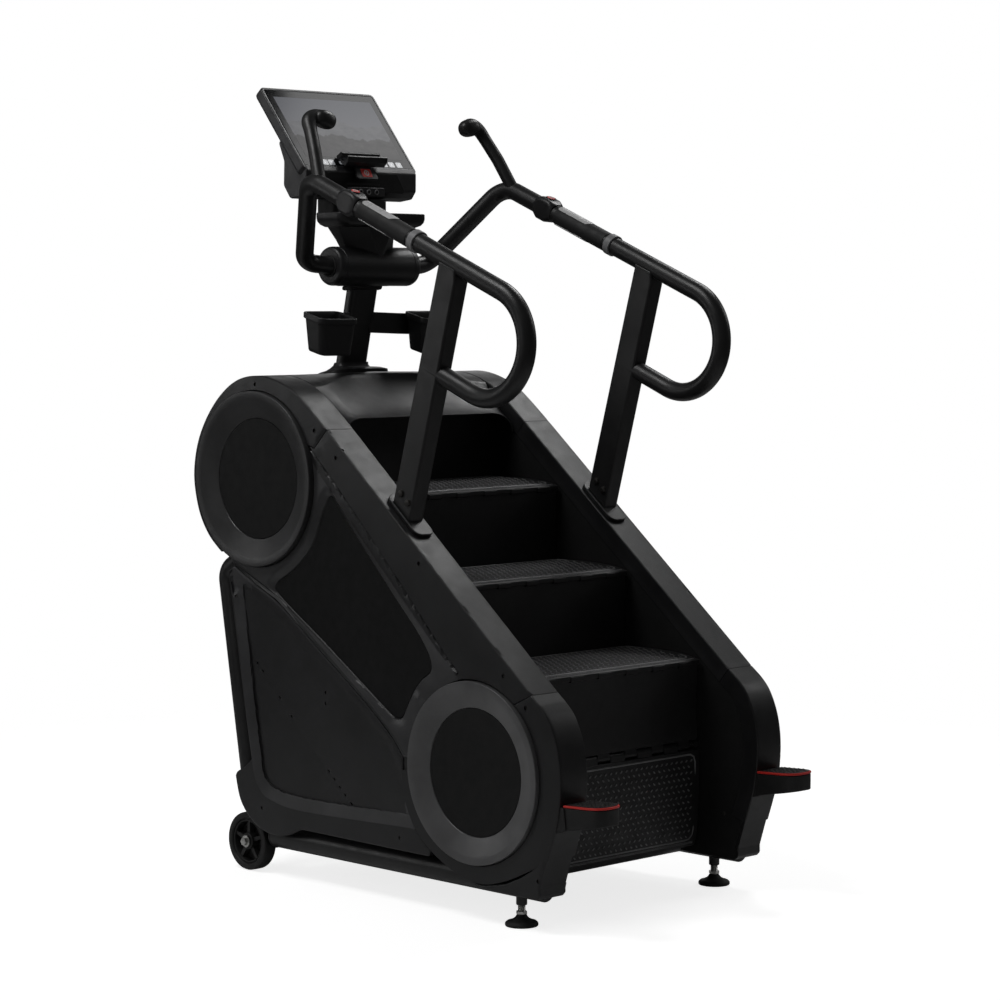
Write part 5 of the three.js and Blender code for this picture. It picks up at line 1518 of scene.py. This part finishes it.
PIC_HALF, PIC_LOW, PIC_HIGH = 167, 36, 238
picture_material()
corners = [(-PIC_HALF, PIC_LOW), (PIC_HALF, PIC_LOW), (PIC_HALF, PIC_HIGH), (-PIC_HALF, PIC_HIGH)]
slab = ([(x, y, out) for out in (0.35, 0.12) for x, y in corners],
        [(0, 1, 2, 3), (7, 6, 5, 4), (0, 4, 5, 1), (1, 5, 6, 2), (2, 6, 7, 3), (3, 7, 4, 0)])
picture = part("display_picture", on_display(slab), "screen_picture", angle=20, weld=0.0001,
               weighted=False)
uv_layer = picture.data.uv_layers.new(name="screen")
for loop in picture.data.loops:
    point = np.array(picture.data.vertices[loop.vertex_index].co) / MM
    point[1] += Y_SHIFT
    point -= DISPLAY_AT
    uv_layer.data[loop.index].uv = ((point[0] + PIC_HALF) / (2 * PIC_HALF),
                                    (float(point @ UP_GLASS) - PIC_LOW) / (PIC_HIGH - PIC_LOW))


def glow(name, colour, strength):
    tree, bsdf, _ = new_material(name, "screen_glass")
    set_inputs(tree, bsdf, {
        "Base Color": (*[c * 0.3 for c in colour], 1), "Roughness": 0.2,
        "Emission Color": (*colour, 1),
        "Emission Strength": map_range(tree, noise(tree, Scale=300), (0, 1),
                                       (strength * 0.85, strength * 1.15))})


glow("key_pale", colour=(0.30, 0.31, 0.33), strength=0.5)
glow("key_red", colour=(0.6, 0.05, 0.04), strength=0.6)
glow("key_line", colour=(0.55, 0.56, 0.58), strength=0.6)


def key_mark(x, kind):
    """The shapes of one key's symbol."""
    dash = box(x - 4, x + 4, 17.2, 18.8, 0.3, 0.5)
    if kind == "ring":
        return [lathe([(3.0, 0.3), (3.0, 0.5), (4.4, 0.5), (4.4, 0.3), (3.0, 0.3)], 24,
                      (x, 18), "z")]
    if kind == "up":
        return [prism([(x - 3.6, 14.6), (x + 3.6, 14.6), (x, 21.8)], 0.3, 0.5, "z")]
    if kind == "down":
        return [prism([(x - 3.6, 21.6), (x, 14.4), (x + 3.6, 21.6)], 0.3, 0.5, "z")]
    if kind == "plus":
        return [dash, box(x - 0.8, x + 0.8, 14, 22, 0.3, 0.52)]
    return [dash]


# Touch keys under the picture: x and symbol.
KEYS = [(-134, "ring"), (-112, "up"), (-90, "down"), (66, "plus"), (92, "minus"), (118, "up"),
        (144, "plus")]
tiles = [prism(rrect(x - 9.5, x + 9.5, 9, 27, 3.4, 4), 0.12, 0.3, "z") for x, _ in KEYS]
tiles += [prism(rrect(k * 19 - 6.5, k * 19 + 6.5, 13, 23, 2.4, 3), 0.12, 0.3, "z")
          for k in range(-3, 4)]
marks = [mark for key in KEYS for mark in key_mark(*key)]
part("display_keys", on_display(*tiles), "key_pale", angle=30)
part("display_key_marks", on_display(*marks), "key_line", angle=30)
power_key = prism(rrect(-163, -149, 11, 25, 6.9, 8), 0.12, 0.34, "z")
part("display_power_key", on_display(power_key), "key_red", angle=30)

# The chin under the glass: a thicker body with a trapezoid plate on its front.
CHIN = round_poly([(931, 1788), (921.5, 1775), (922, 1729), (938, 1709), (988, 1703),
                   (1014, 1738), (1012, 1800), (1034, 1850), (1004, 1862), (950, 1800)],
                  [4, 8, 14, 12, 16, 16, 20, 10, 10, 10])
part("display_chin", prism(CHIN, -190, 190), "bezel_satin", bevel=5, seg=4, bevel_angle=50,
     angle=50)
trapezoid = round_poly([(-150, 1723), (150, 1723), (118, 1772), (-118, 1772)], [8] * 4, 4)
part("chin_recess", prism(trapezoid, 919.6, 923.0, "y"), "inset_grain", "cover_black",
     bevel=1.0, seg=2, angle=40, facing=(0, -1, 0))
part("card_slot", prism(rrect(-58, 58, 1741.5, 1746.5, 2.2, 4), 918.9, 921.5, "y"),
     "port_black", angle=40)
# Port block below the slot.
part("port_block", prism(rrect(-56, 56, 1711, 1735, 5, 5), 898, 936, "y"), "bezel_satin",
     bevel=2.0, seg=3, bevel_angle=50, angle=45, facing=(0, -1, 0))
PORTS_AT = [(x, 1723) for x in (-27, 0, 27)]
PORT_RING = [(4.4, 899), (4.4, 896.6), (5.0, 896), (6.4, 896), (7.2, 897), (7.2, 899), (4.4, 899)]
PORT_PLUG = [(0, 897.6), (4.3, 897.6), (4.3, 899), (0, 899)]
part("port_rings", join(*[lathe(PORT_RING, 32, at, "y") for at in PORTS_AT]), "collar_grey",
     "cover_black", angle=40)
part("port_plugs", join(*[lathe(PORT_PLUG, 24, at, "y") for at in PORTS_AT]), "port_black",
     angle=40)

# --------------------------------------------------------- ledge and stop tab
LEDGE = round_poly([(929, 1797), (914, 1788), (902, 1799), (899, 1812), (903.5, 1816.5),
                    (909, 1806), (920, 1800), (934, 1806)], [3, 4, 4, 3, 2, 4, 4, 2], 4)
part("tablet_ledge", prism(LEDGE, -68, 68), "cover_satin", replaces=True, bevel=2.0, seg=3,
     bevel_angle=50, angle=45)
LEDGE_BAR = round_poly([(944, 1803), (930, 1812), (926, 1822), (931, 1826), (950, 1815)],
                       [2, 4, 3, 3, 2], 4)
part("ledge_bar", prism(LEDGE_BAR, -66, 66), "cover_satin", bevel=1.6, seg=3, bevel_angle=50,
     angle=45)
# The stop tab leans out from under the ledge; its face carries a ring mark on a red plate.
TAB_TOP, TAB_FOOT = np.array([0, 915.5, 1787.0]), np.array([0, 898.5, 1757.5])
tab_down = unit(TAB_FOOT - TAB_TOP)
tab_out = (0, tab_down[2], -tab_down[1])
TAB_FRAME = (TAB_TOP, X_AXIS, tab_down, tab_out)
TAB = round_poly([(-31, 0), (31, 0), (37, 31), (31, 35), (-31, 35), (-37, 31)],
                 [3, 3, 5, 5, 5, 5])
part("stop_tab", place(prism(TAB, -6.5, 0.0, "z"), *TAB_FRAME), "cover_satin", "stop_red",
     "stop_key", replaces=True, bevel=1.8, seg=3, bevel_angle=50, angle=45, facing=tab_out)
part("stop_mark", place(prism(rrect(-17, 17, 5, 29, 3, 4), 0.0, 0.8, "z"), *TAB_FRAME),
     "red_moulded", body="stop_key", angle=35)
ring_mark = join(lathe([(5.6, 0.8), (5.6, 1.2), (8.2, 1.2), (8.2, 0.8), (5.6, 0.8)], 40,
                       (0, 17), "z"), box(-1.2, 1.2, 12.6, 21.4, 0.8, 1.2))
part("stop_ring", place(ring_mark, *TAB_FRAME), "white_print", body="stop_key", angle=35)

# ---------------------------------------------------------------- cup holders
CUP_AT = (175.0, 850.0)
# Up the outside and down the inside: inset, height, corner radius, scale
CUP = [(12, 1316.4, 12, 0.86), (6.5, 1317.5, 14, 0.86), (4.4, 1321, 16, 0.865),
       (4, 1328, 17, 0.875), (4, 1397.5, 17, 0.995), (3.6, 1398.4, 17, 1), (0.8, 1398.8, 18, 1),
       (0, 1400.2, 18, 1), (0, 1410.6, 18, 1), (0.8, 1412.4, 18, 1), (2.4, 1413, 17, 1),
       (5.4, 1412.6, 15, 1), (7, 1410.8, 14, 1), (7.6, 1404, 13, 0.995), (7.8, 1334, 12, 0.885),
       (9.5, 1325, 11, 0.872), (14, 1321.6, 9, 0.87)]


def cup_ring(depth, z, radius, scale):
    """A ring that slopes down towards the front."""
    wide, deep = (64 - depth) * scale, (41 - depth) * scale
    return [(CUP_AT[0] + a, CUP_AT[1] + b - 0.05 * (z - 1413), z - 5 + 0.25 * b)
            for a, b in rrect(-wide, wide, -deep, deep, radius, 7)]


pair("cup_holder", loft([cup_ring(*row) for row in CUP]), "cover_satin", replaces=True, angle=50)

# ------------------------------------------------- CAD nodes that stay in view
# node: (finish, slot)
KEPT = {
    "side_plate_right": ("plate_powder", "plate_black"),
    "side_plate_left": ("plate_powder", "plate_black"),
    "step_chain_right": ("oiled_steel", "chain_steel"),
    "step_chain_left": ("oiled_steel", "chain_steel"),
    "upper_shaft": ("turned_steel", "shaft_steel"),
    "lower_shaft": ("turned_steel", "shaft_steel"),
    "alternator_pulley": ("turned_steel", "shaft_steel"),
    "drive_pulley": ("cast_aluminium", "pulley_aluminium"),
    "drive_belt": ("rubber_moulded", "belt_rubber"),
    "alternator": ("cast_iron", "alternator_casting"),
}
for name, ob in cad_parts.items():
    if name in KEPT:
        finish, slot = KEPT[name]
        ob.data.materials.clear()
        ob.data.materials.append(MATERIALS[finish][0])
        ob.data.shade_smooth()
        ob.data.set_sharp_from_angle(angle=math.radians(32))


# ------------------------------------------- stage, in metres and scene axes
def floor_material():
    """Near-white paint that glows to the camera and fades out away from the machine."""
    camera_glow, own_glow = 0.78, 0.02
    fade_start, fade_end = 1.0, 3.2
    tree, bsdf, output = new_material("floor_paint")
    set_inputs(tree, bsdf, {"Base Color": (0.82, 0.82, 0.82, 1), "Roughness": 0.75,
                            "Specular IOR Level": 0.2})
    coords = node(tree, "TexCoord", {}).outputs["Object"]
    distance = node(tree, "VectorMath", {0: coords}, operation="LENGTH").outputs["Value"]
    fade = map_range(tree, distance, (fade_start, fade_end), (0, 1),
                     interpolation_type="SMOOTHSTEP")
    seen = node(tree, "LightPath", {}).outputs["Is Camera Ray"]
    strength = node(tree, "Math", {0: seen, 1: camera_glow, 2: own_glow},
                    operation="MULTIPLY_ADD").outputs[0]
    light = node(tree, "Emission", {"Strength": strength}).outputs[0]
    paint = node(tree, "AddShader", {0: bsdf.outputs[0], 1: light}).outputs[0]
    clear = node(tree, "BsdfTransparent", {}).outputs[0]
    mixed = node(tree, "MixShader", {0: fade, 1: paint, 2: clear})
    tree.links.new(mixed.outputs[0], output.inputs[0])


FLOOR_RADIUS = 7.0
floor_mesh = bpy.data.meshes.new("floor")
ring = [(FLOOR_RADIUS * math.cos(t), FLOOR_RADIUS * math.sin(t), 0)
        for t in np.radians(np.arange(0, 360, 6))]
floor_mesh.from_pydata([(0, 0, 0)] + ring, [], [(0, 1 + i, 1 + (i + 1) % 60) for i in range(60)])
floor = bpy.data.objects.new("floor", floor_mesh)
floor.location = (0, 0, -0.0006)
scene.collection.objects.link(floor)
floor_material()
floor_mesh.materials.append(MATERIALS["floor_paint"][0])

# A white backdrop for the camera, and only a weak fill for everything else.
WORLD_FILL, BACKDROP = 0.05, 1.0
world = bpy.data.worlds.new("studio")
scene.world = world
world.use_nodes = True
tree = world.node_tree
tree.nodes.clear()
fill, backdrop = [node(tree, "Background", {"Color": (1, 1, 1, 1), "Strength": strength})
                  for strength in (WORLD_FILL, BACKDROP)]
seen = node(tree, "LightPath", {}).outputs["Is Camera Ray"]
mixed = node(tree, "MixShader", {0: seen, 1: fill.outputs[0], 2: backdrop.outputs[0]})
node(tree, "OutputWorld", {0: mixed.outputs[0]})

# name, place, target, width, height, power in watts
LIGHTS = [
    ("over_left", (-2.2, 0.6, 4.6), (0, 0.1, 0.9), 1.6, 1.6, 48),
    ("over_right", (3.0, 0.6, 4.6), (0, 0.1, 0.9), 1.4, 1.4, 44),
    ("right_high", (5.6, -1.6, 3.8), (0, 0.1, 0.8), 1.8, 1.8, 24),
    ("left_rear_high", (-3.8, 4.0, 4.6), (0, 0.1, 0.9), 1.6, 1.6, 8),
    ("left_rear", (-3.8, 4.6, 2.0), (0, 0.2, 0.9), 1.4, 2.2, 14),
    ("left", (-5.6, 0.6, 2.2), (0, 0.1, 0.8), 1.4, 2.4, 7),
    ("right_rear", (4.6, 4.6, 2.6), (0, 0.1, 0.9), 1.8, 2.2, 14),
]
for name, at, target, width, height, watts in LIGHTS:
    light = bpy.data.lights.new(name, "AREA")
    light.shape = "RECTANGLE"
    light.size, light.size_y = width, height
    light.energy = watts
    ob = bpy.data.objects.new(name, light)
    ob.location = at
    ob.rotation_mode = "QUATERNION"
    ob.rotation_quaternion = (Vector(target) - Vector(at)).to_track_quat("-Z", "Y")
    scene.collection.objects.link(ob)

camera_data = bpy.data.cameras.new("camera")
camera_data.sensor_width = 36.0
camera_data.lens = 103.90
camera_data.clip_end = 100
camera = bpy.data.objects.new("camera", camera_data)
camera.location = (-5.0109, -4.6601 - Y_SHIFT * MM, 1.4466)
# Pitched a little below level and turned from +Y towards +X.
camera.rotation_euler = (math.radians(90 - 3.9707), 0, math.radians(-44.6258))
scene.collection.objects.link(camera)
scene.camera = camera
